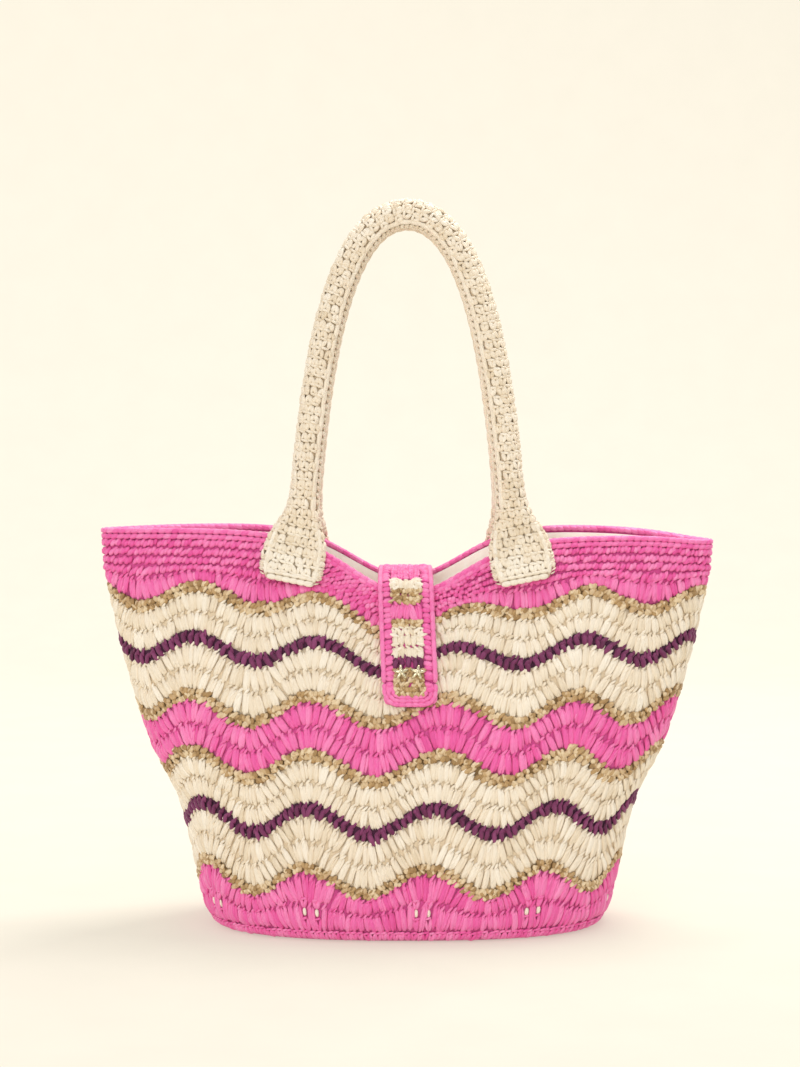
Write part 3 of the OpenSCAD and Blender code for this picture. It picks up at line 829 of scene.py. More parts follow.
class BAG_OT_base(bpy.types.Operator):
    """Crochet the oval base in rounds about a middle line"""

    bl_idname = "bag.base"
    bl_label = "Base"

    def execute(self, context):
        rng = np.random.default_rng(41)
        parts = Parts()
        width, depth, power = BASE_HALF_W, float(half_depth(0.0)), BASE_POWER
        reach = depth - 3 * MM
        insets = np.linspace(0, reach, 60)
        loops = [section_loop(width - i, depth - i, power, 361) for i in insets]
        level = np.full((60, 361, 1), 2.0 * MM)
        surface = Surface(np.concatenate([np.array(loops), level], axis=2), (0, 1), (0, reach), wrap=True,
                          flip=True)
        rows = np.arange(WALL_T, reach - 4 * MM, 7.4 * MM)
        for k, inset in enumerate(rows):
            length = 4 * (width + depth - 2 * inset) * 0.86
            count = max(12, int(length / (6.8 * MM)))
            turn = (np.arange(count) + 0.5 * (k % 2)) / count
            lay_stitches(parts, surface, "short", turn, np.full(count, inset + 3.7 * MM), 3.7 * MM,
                         6.8 * MM, length, rng,
                         tone=0.42)
        outline = section_loop(width - WALL_T, depth - WALL_T, power, 181)[:-1]
        flat = [np.concatenate([outline * s, np.full((180, 1), z)], axis=1)
                for s, z in ((0.985, 1.6 * MM), (1, 2.4 * MM), (1, 3.8 * MM), (0.985, 4.0 * MM))]
        parts.shell(np.array(flat), slot=IN_SHADE)
        piece = parts.build("base_panel_crochet", yarn("pink"))
        place(piece, "bag", "pink_raffia", "base_panel")
        return {"FINISHED"}


class BAG_OT_lining(bpy.types.Operator):
    """Hang the cloth lining from the rim, with its soft folds, turned hem and line of stitches"""

    bl_idname = "bag.lining"
    bl_label = "Lining"

    def execute(self, context):
        cloth = woven_cloth("cotton_lining_cloth", "#EFE4DA", "#FFFAF3")
        floor_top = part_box("lining_floor")[1][2]
        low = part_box("lining_wall")[0][2]
        turns = np.arange(480) / 480
        rows = np.linspace(low, LINING_TOP, 48)
        u, v = np.meshgrid(turns, rows, indexing="ij")
        z = v - sag(u, v)
        height = (v - low) / (LINING_TOP - low)
        # Shallow upright folds that fade out at the hem and at the floor, deeper in the middle.
        broad = np.sin(2 * np.pi * (17 * u + 0.6 * np.sin(3 * np.pi * height)))
        fold = broad + 0.6 * np.sin(2 * np.pi * (31 * u + height))
        depth = 1.3 * MM * np.sin(np.pi * height) ** 0.8 * (1 + fold * 0.5) + 0.3 * MM
        outer, _ = WALLS["lining"].sample(u, z)
        _, normal = WALLS["outer"].sample(u, z)
        front = outer - normal * depth[..., None]
        back = front - normal * 0.7 * MM
        parts = Parts()
        parts.shell(np.concatenate([front, back[:, ::-1]], axis=1), closed=True)
        wall = parts.build("lining_wall_cloth", [cloth])
        place(wall, "bag", "lining_cloth", "lining_wall")

        parts = Parts()
        rows = np.linspace(LINING_TOP - 19 * MM, LINING_TOP + 5 * MM, 14)
        u, v = np.meshgrid(turns, rows, indexing="ij")
        z = v - sag(u, v)
        outer, _ = WALLS["lining"].sample(u, z)
        _, normal = WALLS["outer"].sample(u, z)
        share = (v - rows[0]) / (rows[-1] - rows[0])
        # A rolled lower edge, and the dent that the running stitches pull in.
        dent = 0.4 * MM * np.exp(-(((share - 0.5) / 0.08) ** 2))
        roll = 0.5 * MM * np.exp(-((share / 0.12) ** 2)) - dent
        front = outer - normal * (1.5 * MM)
        back = front - normal * (0.9 * MM + roll[..., None])
        parts.shell(np.concatenate([front, back[:, ::-1]], axis=1), closed=True)
        hem = parts.build("lining_hem_cloth", [cloth])
        place(hem, "bag", "lining_cloth", "lining_hem")

        # Running stitches 3.2 mm long along the hem.
        parts = Parts()
        count = 250
        turn = np.arange(count) / count
        level = LINING_TOP - 16 * MM
        start = pairs(turn, level - sag(turn, level))
        turn = turn + 0.72 / count
        end = pairs(turn, level - sag(turn, level))
        parts.lay(WALLS["inner_face"], start, end, 0.4 * MM, 0.4 * MM, 0.3, lift=3.6 * MM, bulge=0.3 * MM,
                  rings=3, sides=6)
        thread = parts.build("lining_hem_stitches", yarn("cream")[:1])
        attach(thread, "bag")

        parts = Parts()
        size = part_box("lining_floor")
        outline = section_loop(size[1][0], size[1][1], BASE_POWER, 181)[:-1]
        shares = np.concatenate([[0.999], np.linspace(1, 0.02, 24)])
        r = np.append(shares[:, None], [[0.02]], axis=0)
        puff = 1.2 * MM * np.cos(np.arange(len(r)) * 0.9) * (1 - r[:, 0] ** 8)
        levels = np.concatenate([[floor_top - 1.2 * MM], (floor_top + 0.3 * MM + 0.2 * puff)[1:-1],
                                 [floor_top - 1.2 * MM]])
        grid = np.concatenate([r[:, :, None] * outline[None],
                               np.broadcast_to(levels[:, None, None], (len(r), 180, 1))],
                              axis=2)
        parts.shell(grid)
        floor = parts.build("lining_floor_cloth", [cloth])
        place(floor, "bag", "lining_cloth", "lining_floor")
        return {"FINISHED"}


# ---------------------------------------------------------------- handles and pads

PAD_TILT = math.radians(11)
PAD_FOOT = np.array([96, 283]) * MM
PAD_LIFT = 1 * MM
PAD_T = 7 * MM
HANDLE_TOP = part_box("front_handle_cover")[1][2]
HANDLE_R = 10.6 * MM
# How far out from the middle plane the tube's axis is at its top, and how far below its top.
HANDLE_OUT = 12.5 * MM
AXIS_DROP = 11.5 * MM
BEND = joint_place("front_handle_swing")
APEX = np.array([0, HANDLE_TOP - AXIS_DROP])
ARCH = np.array([[84 * MM, BEND[2] + 8 * MM], [76 * MM, 440 * MM], [61 * MM, APEX[1]], APEX])
# Lengths from a handle's foot: where its pad's neck ends and where the rolled seam begins.
PAD_END = 84 * MM
SEAM_FROM = 62 * MM
# A round and a stitch of plain single crochet.
ROUND_H = 7.6 * MM
STITCH_W = 6.3 * MM
SEAM_TURN = 0.46
STRAP_LENGTHS = np.array([0, 3, 8, 20, 32, 42, 52, 60, 70, 80]) * MM
STRAP_HALF_WIDTHS = np.array([19.5, 22.5, 24.3, 24.6, 23.2, 19.6, 15, 12.6, 11.2, 10.6]) * MM
STRAP_THICK_AT = np.array([0, 4, 34, 46, 56, 66, 76, 84]) * MM
STRAP_HALF_THICKS = np.array([2.2, 3.5, 3.5, 4.4, 6.4, 8.6, 10.2, 10.6]) * MM


def strap_axis():
    """Middle line of a whole handle in the x-z plane: the pad's line, the arch's Bezier curve, then both
    mirrored, smoothed and evenly spaced."""
    up = np.array([-math.sin(PAD_TILT), math.cos(PAD_TILT)])
    pad = PAD_FOOT + np.linspace(0, 56 * MM, 60)[:, None] * up
    t = np.linspace(0.02, 1, 240)[:, None]
    s = 1 - t
    arch = s**3 * ARCH[0] + 3 * s**2 * t * ARCH[1] + 3 * s * t**2 * ARCH[2] + t**3 * ARCH[3]
    half = np.concatenate([pad, arch])
    return smooth_line(np.concatenate([half, (half * [-1, 1])[-2::-1]]), 900, 33)


def strap_surface(behind=False, shrink=0.0):
    """A handle with its pads as a Surface of (turn, length): a superellipse round the axis, flat on the
    wall and round in the arch."""
    line, total = strap_axis()
    count = len(line)
    length = np.linspace(0, total, count)
    from_end = np.minimum(length, total - length)
    run = unit(np.gradient(line, axis=0))
    side = np.stack([run[:, 1], -run[:, 0]], axis=1)
    wide = smooth_curve(from_end, STRAP_LENGTHS, STRAP_HALF_WIDTHS) - shrink
    thick = smooth_curve(from_end, STRAP_THICK_AT, STRAP_HALF_THICKS) - shrink
    round_share = np.clip((from_end - 34 * MM) / (44 * MM), 0, 1)
    round_share = round_share * round_share * (3 - 2 * round_share)
    power = 4.2 - 2.2 * round_share
    t = np.linspace(0, 2 * np.pi, 241)
    cos, sin = np.cos(t), np.sin(t)
    rings = []
    for k in range(count):
        c = wide[k] * np.sign(cos) * np.abs(cos) ** (2 / power[k])
        o = thick[k] * np.sign(sin) * np.abs(sin) ** (2 / power[k])
        rings.append(even_points(np.stack([c, o], axis=1), 97))
    rings = np.array(rings)
    x = line[:, None, 0] + side[:, None, 0] * rings[..., 0]
    z = line[:, None, 1] + side[:, None, 1] * rings[..., 0]
    on_wall = wall_depth(x, np.minimum(z, BODY_H)) + PAD_LIFT + PAD_T / 2
    rise = (line[:, 1] - BEND[2]) / (APEX[1] - BEND[2])
    leaning = -BEND[1] + (HANDLE_OUT + BEND[1]) * np.clip(rise, 0, 1)
    middle = on_wall * (1 - round_share[:, None]) + leaning[:, None] * round_share[:, None]
    points = np.stack([x, -(middle + rings[..., 1]), z], axis=2)
    if behind:
        points = points * [-1, -1, 1]
    return Surface(points, (0, 1), (0, total), wrap=True, flip=True), total


def strap_rows(parts, surface, low, high, total, rng, tone=0.5):
    """Rounds of single crochet on a strap, one every ROUND_H. Where the strap is a tube, its rolled seam
    takes the place of the innermost stitches."""
    rows = max(1, int(round((high - low) / ROUND_H)))
    height = (high - low) / rows
    for k in range(rows):
        centre = low + (k + 0.5) * height
        ring, _ = surface.sample(np.linspace(0, 1, 60), np.full(60, centre))
        around = np.linalg.norm(np.diff(ring, axis=0), axis=1).sum()
        count = max(10, int(round(around / STITCH_W)))
        turn = (np.arange(count) + 0.5 * (k % 2)) / count
        if min(centre, total - centre) > SEAM_FROM:
            turn = turn[np.abs(turn - SEAM_TURN) > 0.11]
        own = tone(np.full(len(turn), centre)) if callable(tone) else tone
        lay_stitches(parts, surface, "short", turn, np.full(len(turn), centre), height / 2,
                     around / count,
                     around, rng, tone=own)


def strap_seam(parts, surface, low, high, rng):
    """The tube's closing seam: a smooth rolled edge on either side, and a ladder of small loops between
    them."""
    around = 2 * np.pi * HANDLE_R
    step = 11.0
    for turn in (-0.085, 0.085):
        at = np.arange(low - 3 * MM, high - 8 * MM, step * MM)
        n = len(at)
        start = pairs(SEAM_TURN + turn, at)
        end = pairs(SEAM_TURN + turn + rng.uniform(-0.008, 0.008, n), at + 1.75 * step * MM)
        parts.lay(surface, start, end, 2.7 * MM, 1.9 * MM, rng.uniform(0.4, 0.75, n), lift=-0.6 * MM)
    at = np.arange(low, high, 5.6 * MM)
    n, reach = len(at), 3.6 * MM / around
    start, end = pairs(SEAM_TURN - reach, at - 1.2 * MM), pairs(SEAM_TURN + reach, at + 2.4 * MM)
    parts.lay(surface, start, end, 2.2 * MM, 1.5 * MM, rng.uniform(0.2, 0.7, n), lift=-0.9 * MM,
              bulge=1.0 * MM,
              rings=4)


def strap_backing(parts, behind, low, high):
    """The strap's own body, 1.5 mm under its surface, closed at both ends."""
    core, _ = strap_surface(behind, shrink=1.5 * MM)
    turns = np.arange(48) / 48
    at = np.linspace(low, high, max(24, int((high - low) / (5 * MM))))
    grid_v, grid_u = np.meshgrid(at, turns, indexing="ij")
    points, _ = core.sample(grid_u, grid_v)
    parts.shell(points, slot=IN_SHADE)


def pad_border(parts, surface, total, left, rng):
    """The rolled border round a pad's face: long overlapping plies down both edges, and a thicker roll
    along the foot."""
    def lay(turn, length, next_turn, next_length, width, thick, lift):
        if left:
            length, next_length = total - length, total - next_length
        start, end = pairs(turn, length), pairs(next_turn, next_length)
        parts.lay(surface, start, end, width * MM, thick * MM, rng.uniform(0.55, 0.95, len(start)),
                  lift=lift * MM, bulge=0.5 * MM, rings=5)

    at = np.arange(3, 40, 6.5) * MM
    for turn_at in (0.055, 0.445):
        lay(turn_at, at, turn_at, at + 12 * MM, 2.1, 1.6, -0.1)
    turn = np.linspace(0.05, 0.37, 6)
    for length, width in ((2.2 * MM, 2.5), (6.0 * MM, 1.7)):
        lay(turn, length, turn + 0.10, length + 0.3 * MM, width, 1.8, 0.1)


class BAG_OT_handles(bpy.types.Operator):
    """Crochet the two handle tubes over their rope cores"""

    bl_idname = "bag.handles"
    bl_label = "Handles"

    def execute(self, context):
        for name, behind in (("front_handle", False), ("rear_handle", True)):
            rng = np.random.default_rng(51 + behind)
            surface, total = strap_surface(behind)
            parts = Parts()
            low, high = PAD_END, total - PAD_END
            strap_backing(parts, behind, low - 1 * MM, high + 1 * MM)
            strap_rows(parts, surface, low, high, total, rng)
            strap_seam(parts, surface, low, high, rng)
            piece = parts.build(f"{name}_cover_crochet", yarn("cream"))
            place(piece, name, "cream_raffia", f"{name}_cover")
        return {"FINISHED"}


class BAG_OT_pads(bpy.types.Operator):
    """Crochet the four pads and their necks, and sew them down"""

    bl_idname = "bag.pads"
    bl_label = "Handle pads"

    def execute(self, context):
        for row, (handle, behind) in enumerate((("front", False), ("rear", True))):
            surface, total = strap_surface(behind)
            for left in (False, True):
                rng = np.random.default_rng(61 + 2 * row + left)
                side = "left" if left != behind else "right"
                low, high = (total - PAD_END, total) if left else (0, PAD_END)
                parts = Parts()
                strap_backing(parts, behind, low + 0.5 * MM, high - 0.5 * MM)

                def tone(at, left=left):
                    """The pad's first 24 mm from its foot gets a paler tone than the part above it."""
                    from_foot = total - at if left else at
                    return np.where(from_foot < 24 * MM, 0.78, 0.40)

                strap_rows(parts, surface, low if left else low + 7 * MM, high - 7 * MM if left else high,
                           total, rng,
                           tone=tone)
                seam = (total - PAD_END, total - SEAM_FROM) if left else (SEAM_FROM, PAD_END)
                strap_seam(parts, surface, *seam, rng)
                pad_border(parts, surface, total, left, rng)
                name = f"{handle}_{side}_pad"
                piece = parts.build(f"{name}_crochet", yarn("cream"))
                place(piece, None, "cream_raffia", name)
                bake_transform(piece)
        self.sew_down()
        return {"FINISHED"}

    def sew_down(self):
        """Whip stitches over the pads' edges: each thread runs from the pad's face over its edge to the
        wall."""
        parts = Parts()
        rng = np.random.default_rng(71)
        at = np.arange(3, 19, 3.0) * MM
        t = np.linspace(0, 1, 7)
        for side in (-1, 1):
            wide = smooth_curve(at, STRAP_LENGTHS, STRAP_HALF_WIDTHS)
            u = side * (wide[:, None] + (-2.2 + 4.6 * t) * MM)
            v = (at + rng.uniform(-0.4, 0.4, len(at)) * MM)[:, None] + 1.5 * MM * t
            x = PAD_FOOT[0] + u * math.cos(PAD_TILT) - v * math.sin(PAD_TILT)
            z = PAD_FOOT[1] + u * math.sin(PAD_TILT) + v * math.cos(PAD_TILT)
            out = (PAD_LIFT + PAD_T + 0.8 * MM) * np.clip(1.7 - 1.7 * t, 0, 1) ** 0.6
            y = -(wall_depth(x, np.minimum(z, BODY_H)) + out)
            centre = np.stack([x, y, z], axis=2)
            normal = np.broadcast_to(unit(np.array([side * 0.7, -0.7, 0])), centre.shape)
            for turn in ([1, 1, 1], [-1, -1, 1]):
                parts.strands(centre * turn, normal * turn, 0.7 * MM, 0.7 * MM, 0.35, sides=6)
                mirrored = centre[:, ::-1] * np.array(turn) * [-1, 1, 1]
                parts.strands(mirrored, normal * np.array(turn) * [-1, 1, 1], 0.7 * MM, 0.7 * MM, 0.35,
                              sides=6)
        piece = parts.build("pad_sewing_thread", yarn("cream")[:1])
        place(piece, "bag", "cream_raffia", "pad_stitches")


# ---------------------------------------------------------------- closure tab

LIFT_AXIS = joint_place("tab_lift")
FOLD_AXIS = joint_place("tab_fold")
TAB_HALF = 22 * MM
TAB_EDGE = 8 * MM
TAB_T = 4 * MM
FLAP_GAP = 3 * MM
TAB_X = -1.5 * MM
BRIDGE_RISE = 3 * MM
POST_H = 13 * MM
TAB_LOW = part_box("tab_flap_edging")[0][2]
SEWN_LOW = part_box("tab_sewn_end")[0][2]


# Patches of colour down the tab: kind of stitch, material slot, where it starts and ends in mm below
# the crest, and how far its stitches fan out towards the foot.
PINK, CREAM, TAN, PLUM = 0, 2, 3, 4
TAB_SHOWN = 118 * MM
TAB_PATCHES = [
    ("post", CREAM, 9, 23, 0.0), ("knot", TAN, 22, 34, 0.0), ("post", PINK, 33, 48, 0.35),
    ("knot", TAN, 47, 53, 0.0),
    ("short", CREAM, 53, 61, 0.0), ("post", CREAM, 59, 79, 0.1), ("drop", PLUM, 77, 87, 0.0),
    ("knot", TAN, 87, 109.5, 0.0),
]


def tab_line():
    """The tab's middle line in the y-z plane, from its sewn end up the rear, over the mouth and down the
    front, as even points."""
    z = np.linspace(SEWN_LOW, LIFT_AXIS[2] - 3 * MM, 30)
    rear = np.stack([half_depth(z) + 1.5 * MM + TAB_T / 2, z], axis=1)
    share = np.linspace(0, 1, 50)
    y = LIFT_AXIS[1] + (FOLD_AXIS[1] - LIFT_AXIS[1]) * share
    level = LIFT_AXIS[2] + (FOLD_AXIS[2] - LIFT_AXIS[2]) * share
    over = np.stack([y, level + 4 * BRIDGE_RISE * share * (1 - share)], axis=1)
    z = np.linspace(FOLD_AXIS[2] - 3 * MM, TAB_LOW, 60)
    front = np.stack([-half_depth(z) - FLAP_GAP - TAB_T / 2, z], axis=1)
    return smooth_line(np.concatenate([rear, over, front]), 500, 21)


def tab_surface(out):
    """The tab's face as a Surface of (x, length along it), out from its middle line. out < 0 is its
    back."""
    line, total = tab_line()
    run = unit(np.gradient(line, axis=0))
    normal = np.stack([run[:, 1], -run[:, 0]], axis=1)
    middle = line + normal * out
    across = np.linspace(-26 * MM, 26 * MM, 15)
    length = np.linspace(0, total, len(line))
    down = np.clip((FOLD_AXIS[2] - line[:, 1]) / (FOLD_AXIS[2] - TAB_LOW), 0, 1) * (line[:, 0] < 0)
    x = across[None] + TAB_X + 4 * MM * down[:, None]
    y = np.repeat(middle[:, :1], len(across), axis=1)
    z = np.repeat(middle[:, 1:], len(across), axis=1)
    surface = Surface(np.stack([x, y, z], axis=2), (across[0], across[-1]), (0, total), flip=out >= 0)
    return surface, total, line, length


def tab_width(at, total, radius=9 * MM):
    """Half-width of the tab at a length along it: full, then rounded over the last radius."""
    left = np.clip(total - at, 0, radius)
    return TAB_HALF - radius + np.sqrt(np.clip(radius**2 - (radius - left) ** 2, 0, None))


def tab_backing(parts, low, high, total):
    """The tab's body between two lengths: a thin slab just under the stitches of its front."""
    front, back = tab_surface(0.5 * MM)[0], tab_surface(-1.2 * MM)[0]
    at = np.linspace(low, high, max(6, int((high - low) / (2.0 * MM))))
    wide = tab_width(at, total) - 1.6 * MM
    share = np.linspace(-1, 1, 13)
    u, v = share[None] * wide[:, None], np.repeat(at[:, None], 13, axis=1)
    face, _ = front.sample(u, v)
    reverse, _ = back.sample(u[:, ::-1], v)
    parts.shell(np.concatenate([face, reverse], axis=1), slot=IN_SHADE)


def tab_rows(parts, surface, kind, low, high, half, rng, slot=0, pitch=4.7 * MM, fan=0.0):
    """Rows of stitches across the tab between two lengths along it, worked from its foot upwards, fanned
    towards the foot by fan."""
    rows = max(1, int(round((high - low) / (POST_H if kind == "post" else ROUND_H))))
    height = (high - low) / rows
    count = max(2, int(round(2 * half / pitch)))
    x = (np.arange(count) + 0.5) / count * 2 * half - half
    for k in range(rows):
        centre = high - (k + 0.5) * height
        lay_stitches(parts, surface, kind, x, np.full(count, centre), height / 2, 2 * half / count, 1.0,
                     rng,
                     slope=-fan * x / half, slot=slot, way=-1)


def tab_spikes(parts, surface, centre, half, height, rng, slot):
    """Plies that reach out of a patch of colour at its corners and sides, where its stitches pull on
    their neighbours."""
    angle = np.radians([20, 48, 132, 160, 200, 228, 312, 340])
    tip = rng.uniform(0.9, 1.2, len(angle))
    across, along = half * np.cos(angle), height / 2 * np.sin(angle) / np.sin(np.radians(48))
    start = pairs(0.45 * across, centre + 0.5 * along)
    end = pairs(1.25 * across * tip, centre + 1.05 * along * tip)
    parts.lay(surface, start, end, 1.5 * MM, 1.2 * MM, rng.uniform(0.5, 0.9, len(angle)), lift=0.3 * MM,
              bulge=0.9 * MM, slot=slot, rings=4)


def tab_border(parts, surface, low, high, total, rng, foot=False):
    """Border of the tab: slanting stitches crosswise along each side and a smooth roll on the very
    edge."""
    at = np.arange(low, high - (14 * MM if foot else 0), 4.3 * MM)
    n = len(at)
    for side in (-1, 1):
        wide = tab_width(at, total)
        inner = pairs(side * (TAB_HALF - TAB_EDGE - 2.2 * MM + rng.uniform(-1, 1, n) * MM),
                      at + rng.uniform(-0.8, 0.8, n) * MM)
        outer = pairs(side * (wide - 2.6 * MM), at + rng.uniform(0.8, 3.8, n) * MM)
        parts.lay(surface, inner, outer, rng.uniform(2.1, 2.7, n) * MM, 1.3 * MM,
                  np.clip(rng.normal(0.5, 0.18, n), 0, 1),
                  lift=-0.1 * MM, bulge=rng.uniform(0.7, 1.3, n) * MM, rings=5)
    edge = np.arange(low, high - 28 * MM if foot else high, 8.0 * MM)
    for side in (-1, 1):
        start = pairs(side * (TAB_HALF - 1.7 * MM), edge)
        end = pairs(start[:, 0], edge + 14 * MM)
        parts.lay(surface, start, end, 2.3 * MM, 1.9 * MM, rng.uniform(0.55, 0.8, len(edge)),
                  lift=-0.6 * MM,
                  bulge=0.4 * MM, rings=6)
    for inset in (1.7 * MM, 4.7 * MM, 7.6 * MM) if foot else ():
        radius = 10 * MM - min(inset, 6 * MM)
        corner = np.linspace(0, np.pi / 2, 7)
        right = pairs(TAB_HALF - inset - radius + radius * np.cos(corner),
                      total - inset - radius + radius * np.sin(corner))
        path = np.concatenate([[[TAB_HALF - inset, total - 19 * MM]], right, (right * [-1, 1])[::-1],
                               [[inset - TAB_HALF, total - 19 * MM]]])
        steps = lengths_along(path)
        s = np.arange(0, steps[-1] - 4 * MM, 5.2 * MM)

        def along(where, path=path, steps=steps):
            return np.stack([np.interp(where, steps, path[:, k]) for k in (0, 1)], axis=1)

        parts.lay(surface, along(s), along(s + 8.4 * MM), 2.0 * MM, 1.6 * MM,
                  rng.uniform(0.5, 0.8, len(s)),
                  lift=-0.3 * MM, bulge=0.4 * MM, rings=5)


class BAG_OT_tab(bpy.types.Operator):
    """Crochet the closure tab in two pieces that meet in the middle of the strip over the mouth"""

    bl_idname = "bag.tab"
    bl_label = "Closure tab"

    def execute(self, context):
        face, total, line, length = tab_surface(TAB_T / 2 - 0.8 * MM)
        reverse = tab_surface(-TAB_T / 2 + 0.8 * MM)[0]
        middle = float(length[np.argmax(line[:, 0] <= 0)])
        rear, front = Parts(), Parts()
        rng = np.random.default_rng(81)
        tab_backing(rear, 0, middle, total)
        tab_rows(rear, face, "short", 1 * MM, middle, TAB_HALF - 6 * MM, rng)
        tab_border(rear, face, 1 * MM, middle - 10 * MM, total, rng)
        tab_rows(rear, reverse, "short", 1 * MM, middle, TAB_HALF - 1.5 * MM, rng)
        piece = rear.build("tab_rear_crochet", yarn("pink"))
        place(piece, None, "pink_raffia", "tab_sewn_end")
        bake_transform(piece)

        tab_backing(front, middle, total, total)
        tab_border(front, face, middle, total, total, rng, foot=True)
        inner, crest = TAB_HALF - TAB_EDGE - 2.5 * MM, total - TAB_SHOWN
        tab_rows(front, face, "short", middle, crest + 9 * MM, inner, rng)
        for kind, slot, low, high, fan in TAB_PATCHES:
            tab_rows(front, face, kind, crest + low * MM, crest + high * MM, inner + 1.0 * MM, rng, slot,
                     fan=fan)
        for centre, height in ((16, 13), (64, 20)):
            tab_spikes(front, face, crest + centre * MM, inner + 1.5 * MM, height * MM, rng, 2)
        tab_rows(front, reverse, "short", middle, total - 3 * MM, TAB_HALF - 1.5 * MM, rng)
        pink, cream, tan, plum = yarn("pink"), yarn("cream"), yarn("tan"), yarn("plum")
        piece = front.build("tab_front_crochet", [pink[0], pink[1], cream[0], tan[0], plum[0]])
        place(piece, None, "pink_raffia", "tab_bridge", "tab_flap", "tab_flap_edging")
        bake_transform(piece)
        return {"FINISHED"}


# How fast a star's arms fall towards their tips, per metre.
ARM_DROOP = 30


class BAG_OT_metalwork(bpy.types.Operator):
    """Set the two starfish studs, and finish the magnetic snap's parts"""

    bl_idname = "bag.metalwork"
    bl_label = "Studs and snap"

    def execute(self, context):
        metal = plated_metal("pale_gold_plate", "#978A63", "#FFF4D6")
        low, high = (np.array(corner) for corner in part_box("tab_studs"))
        foot_z = (low[2] + high[2]) / 2
        parts = Parts()
        face, total, line, length = tab_surface(TAB_T / 2)
        at = float(length[np.argmax((line[:, 0] < 0) & (line[:, 1] < foot_z))])
        for side, turned in ((-1, 0.10), (1, -0.14)):
            foot, normal = face.sample(np.array([side * 6.6 * MM]), np.array([at]))
            out, right = normal[0], np.array([1.0, 0, 0])
            up = np.cross(out, right)
            angle = np.pi / 2 + turned + 2 * np.pi * np.arange(5) / 5
            arm = np.cos(angle)[:, None] * right + np.sin(angle)[:, None] * up
            reach = np.linspace(-2.2, 6.9, 9) * MM
            middle = foot[0] + out * 2.5 * MM
            centre = middle + arm[:, None] * reach[:, None] - out * (ARM_DROOP * reach**2)[:, None]
            parts.strands(centre, np.broadcast_to(out, centre.shape), 1.55 * MM, 1.35 * MM, 0.5, sides=10)
            turn = 2 * np.pi * np.arange(20) / 20
            profile = np.array([[0.3, 1.2], [2.0, 1.8], [1.9, 2.9], [1.2, 3.8], [0.4, 4.1]]) * MM
            ring = np.cos(turn)[:, None] * right + np.sin(turn)[:, None] * up
            parts.shell(foot[0] + profile[:, None, :1] * ring + profile[:, None, 1:] * out)
        piece = parts.build("tab_starfish_studs", [metal])
        place(piece, "tab_end", "pale_metal", "tab_studs")
        for node in ("tab_snap_half", "wall_snap_half", "wall_snap_washer"):
            dress(node, metal)
        return {"FINISHED"}


def dress(node, material):
    """Gives a CAD node's own mesh a material."""
    obj = frame["nodes"][node]
    if not obj.material_slots:
        obj.data.materials.append(material)
    for slot in obj.material_slots:
        slot.material = material


class BAG_OT_inner_parts(bpy.types.Operator):
    """Finish the parts that stay hidden: the rope cores and the base board"""

    bl_idname = "bag.inner_parts"
    bl_label = "Hidden parts"

    def execute(self, context):
        rope = twisted_rope("cotton_rope")
        dress("front_handle_rope", rope)
        dress("rear_handle_rope", rope)
        dress("base_board", pressed_board("pressed_bag_board"))
        return {"FINISHED"}


# ---------------------------------------------------------------- stage

SENSOR_H = 36
LENS = 77.7
CAMERA_AT = (-0.006, -1.9, 0.41)
# How far the camera looks below level.
CAMERA_TILT = math.radians(2.7)
LIT_POINT = Vector((0, 0, 0.25))
# {name: (place, watts, side of the square)}
SOFTBOXES = {
    "overhead_softbox": ((0.55, 0.55, 2.1), 36, 1.0),
    "front_softbox": ((-1.3, -3.6, 1.3), 44, 2.0),
}

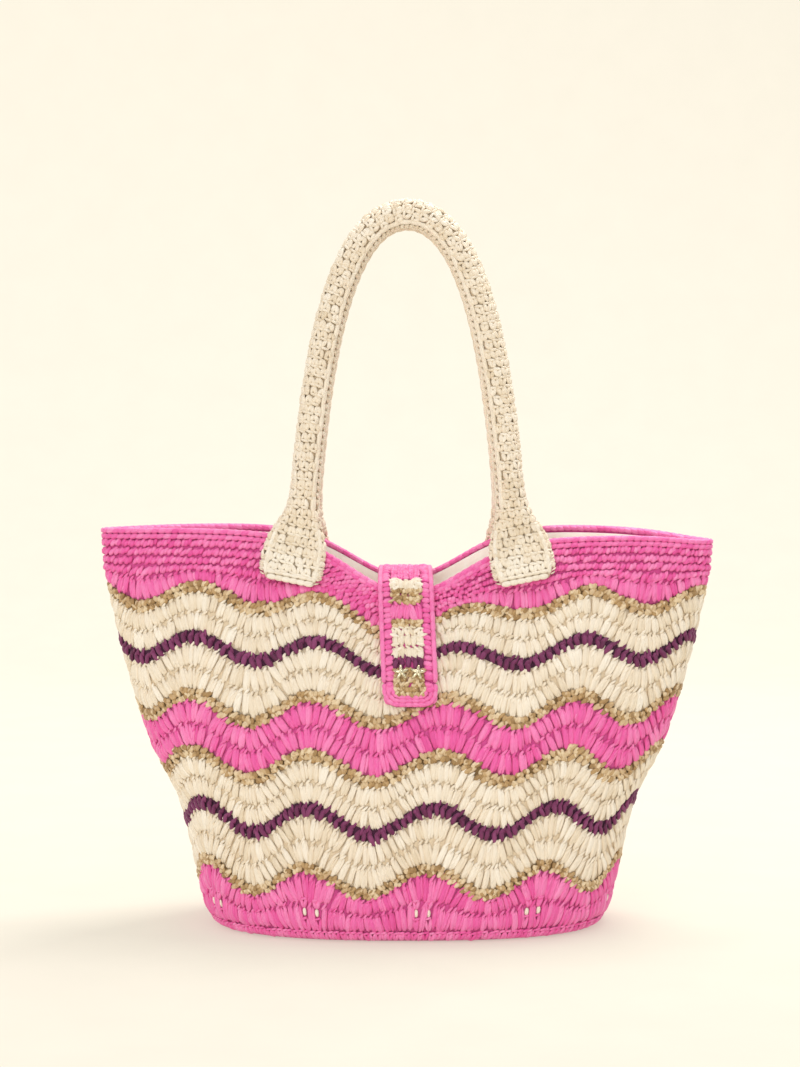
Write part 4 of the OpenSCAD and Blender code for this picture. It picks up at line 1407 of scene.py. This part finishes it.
class BAG_OT_stage(bpy.types.Operator):
    """Lay a plain pale floor that rises behind, and set soft lights and the camera"""

    bl_idname = "bag.stage"
    bl_label = "Stage"

    def execute(self, context):
        scene = context.scene
        scene.view_settings.view_transform = "Standard"
        material, tree, shader = new_material("pale_studio_paper")
        place_on_floor = add_node(tree, "TexCoord").outputs["Object"]
        # Faint mottle of matt paper, a few centimetres across.
        mottle = noise(tree, place_on_floor, 14.0, 3.0)
        depth = add_node(tree, "SeparateXYZ", {"Vector": place_on_floor}).outputs["Y"]
        set_inputs(tree, shader, {
            "Base Color": ramp(tree, mottle, [(0.3, "#A8A398"), (0.7, "#ABA69B")]),
            "Roughness": 0.95,
            "Specular IOR Level": 0.1,
            # The paper glows a little, as an overexposed studio sweep does, so its shadows stay faint.
            # The glow fades towards the front, where the lights are nearer, so it stays one tone.
            "Emission Color": linear("#FEF8E8"),
            "Emission Strength": map_range(tree, depth, (-1.2, 1.6), (0.39, 0.585)),
        })
        # A sheet that lies flat, bends up over a quarter circle and stands behind.
        bend, start, rise = 1.2, 1.8, 3.0
        angle = np.linspace(0, np.pi / 2, 24)
        profile = np.concatenate([[[-4.0, 0]], np.stack([start + bend * np.sin(angle),
                                                         bend - bend * np.cos(angle)], 1),
                                  [[start + bend, bend + rise]]])
        x = np.array([-5.0, 5.0])
        points = np.array([[px, y, z] for y, z in profile for px in x])
        quads = [[2 * i, 2 * i + 1, 2 * i + 3, 2 * i + 2] for i in range(len(profile) - 1)]
        mesh = bpy.data.meshes.new("studio_paper")
        mesh.from_pydata(points, [], quads)
        mesh.polygons.foreach_set("use_smooth", np.ones(len(quads), bool))
        mesh.materials.append(material)
        paper = bpy.data.objects.new("studio_paper", mesh)
        scene.collection.objects.link(paper)

        world = bpy.data.worlds.new("soft_room")
        world.use_nodes = True
        background = world.node_tree.nodes["Background"]
        background.inputs["Color"].default_value = linear("#FFFFFF")
        background.inputs["Strength"].default_value = 0.85
        scene.world = world
        for name, (at, power, size) in SOFTBOXES.items():
            self.light(name, at, power, size)

        camera = bpy.data.objects.new("camera", bpy.data.cameras.new("camera"))
        scene.collection.objects.link(camera)
        camera.data.sensor_fit = "VERTICAL"
        camera.data.sensor_height = SENSOR_H
        camera.data.lens = LENS
        camera.location = CAMERA_AT
        camera.rotation_euler = (math.pi / 2 - CAMERA_TILT, 0, 0)
        scene.camera = camera
        return {"FINISHED"}

    def light(self, name, at, power, size):
        """A square soft light that looks at the middle of the bag."""
        lamp = bpy.data.lights.new(name, "AREA")
        lamp.energy, lamp.size = power, size
        lamp.color = linear("#FFFCF8")[:3]
        obj = bpy.data.objects.new(name, lamp)
        obj.location = at
        obj.rotation_euler = (LIT_POINT - Vector(at)).to_track_quat("-Z", "Y").to_euler()
        bpy.context.scene.collection.objects.link(obj)


# ---------------------------------------------------------------- user settings and panel


class BagSizes(bpy.types.PropertyGroup):
    """Sizes that a user would change"""

    wave_count: bpy.props.IntProperty(name="Waves", description="Waves round the bag", default=10, min=4,
                                      max=16)
    wave_height: bpy.props.FloatProperty(
        name="Wave height", description="Height of a wave above and below its row", default=10.5 * MM,
        unit="LENGTH")
    rim_sag: bpy.props.FloatProperty(
        name="Rim sag", description="How far the middle of the rim sags", default=45 * MM, unit="LENGTH")
    corner_sag: bpy.props.FloatProperty(
        name="End sag", description="How far the two ends of the mouth hang", default=4 * MM,
        unit="LENGTH")
    front_sag: bpy.props.FloatProperty(
        name="Front sag", description="How much lower the front rim hangs", default=7.5 * MM,
        unit="LENGTH")
    stitches: bpy.props.IntProperty(name="Stitches", description="Stitches in a round", default=180,
                                    min=60, max=240)


CLASSES = [BagSizes, BAG_OT_bands, BAG_OT_rim, BAG_OT_base, BAG_OT_lining, BAG_OT_handles, BAG_OT_pads,
           BAG_OT_tab, BAG_OT_metalwork, BAG_OT_inner_parts, BAG_OT_stage]
BUILD_STEPS = ["bands", "rim", "base", "lining", "handles", "pads", "tab", "metalwork", "inner_parts",
               "stage"]


class BAG_PT_panel(bpy.types.Panel):
    """Lists the bag's sizes and its building steps"""

    bl_idname = "BAG_PT_panel"
    bl_label = "Beach bag"
    bl_space_type = "VIEW_3D"
    bl_region_type = "UI"
    bl_category = "Beach bag"

    def draw(self, context):
        for name in BagSizes.__annotations__:
            self.layout.prop(context.scene.bag_sizes, name)
        for step in BUILD_STEPS:
            self.layout.operator(f"bag.{step}")


def register():
    for cls in [*CLASSES, BAG_PT_panel]:
        bpy.utils.register_class(cls)
    bpy.types.Scene.bag_sizes = bpy.props.PointerProperty(type=BagSizes)


def unregister():
    del bpy.types.Scene.bag_sizes
    for cls in [BAG_PT_panel, *reversed(CLASSES)]:
        bpy.utils.unregister_class(cls)


def main():
    register()
    WALLS["outer"] = make_wall()
    WALLS["inner"] = make_wall(inset=WALL_T)
    WALLS["inner_face"] = make_wall(inset=WALL_T, flip=True)
    WALLS["lining"] = make_wall(inset=WALL_T + 1.0 * MM)
    for step in BUILD_STEPS:
        getattr(bpy.ops.bag, step)()


if __name__ == "__main__":
    main()
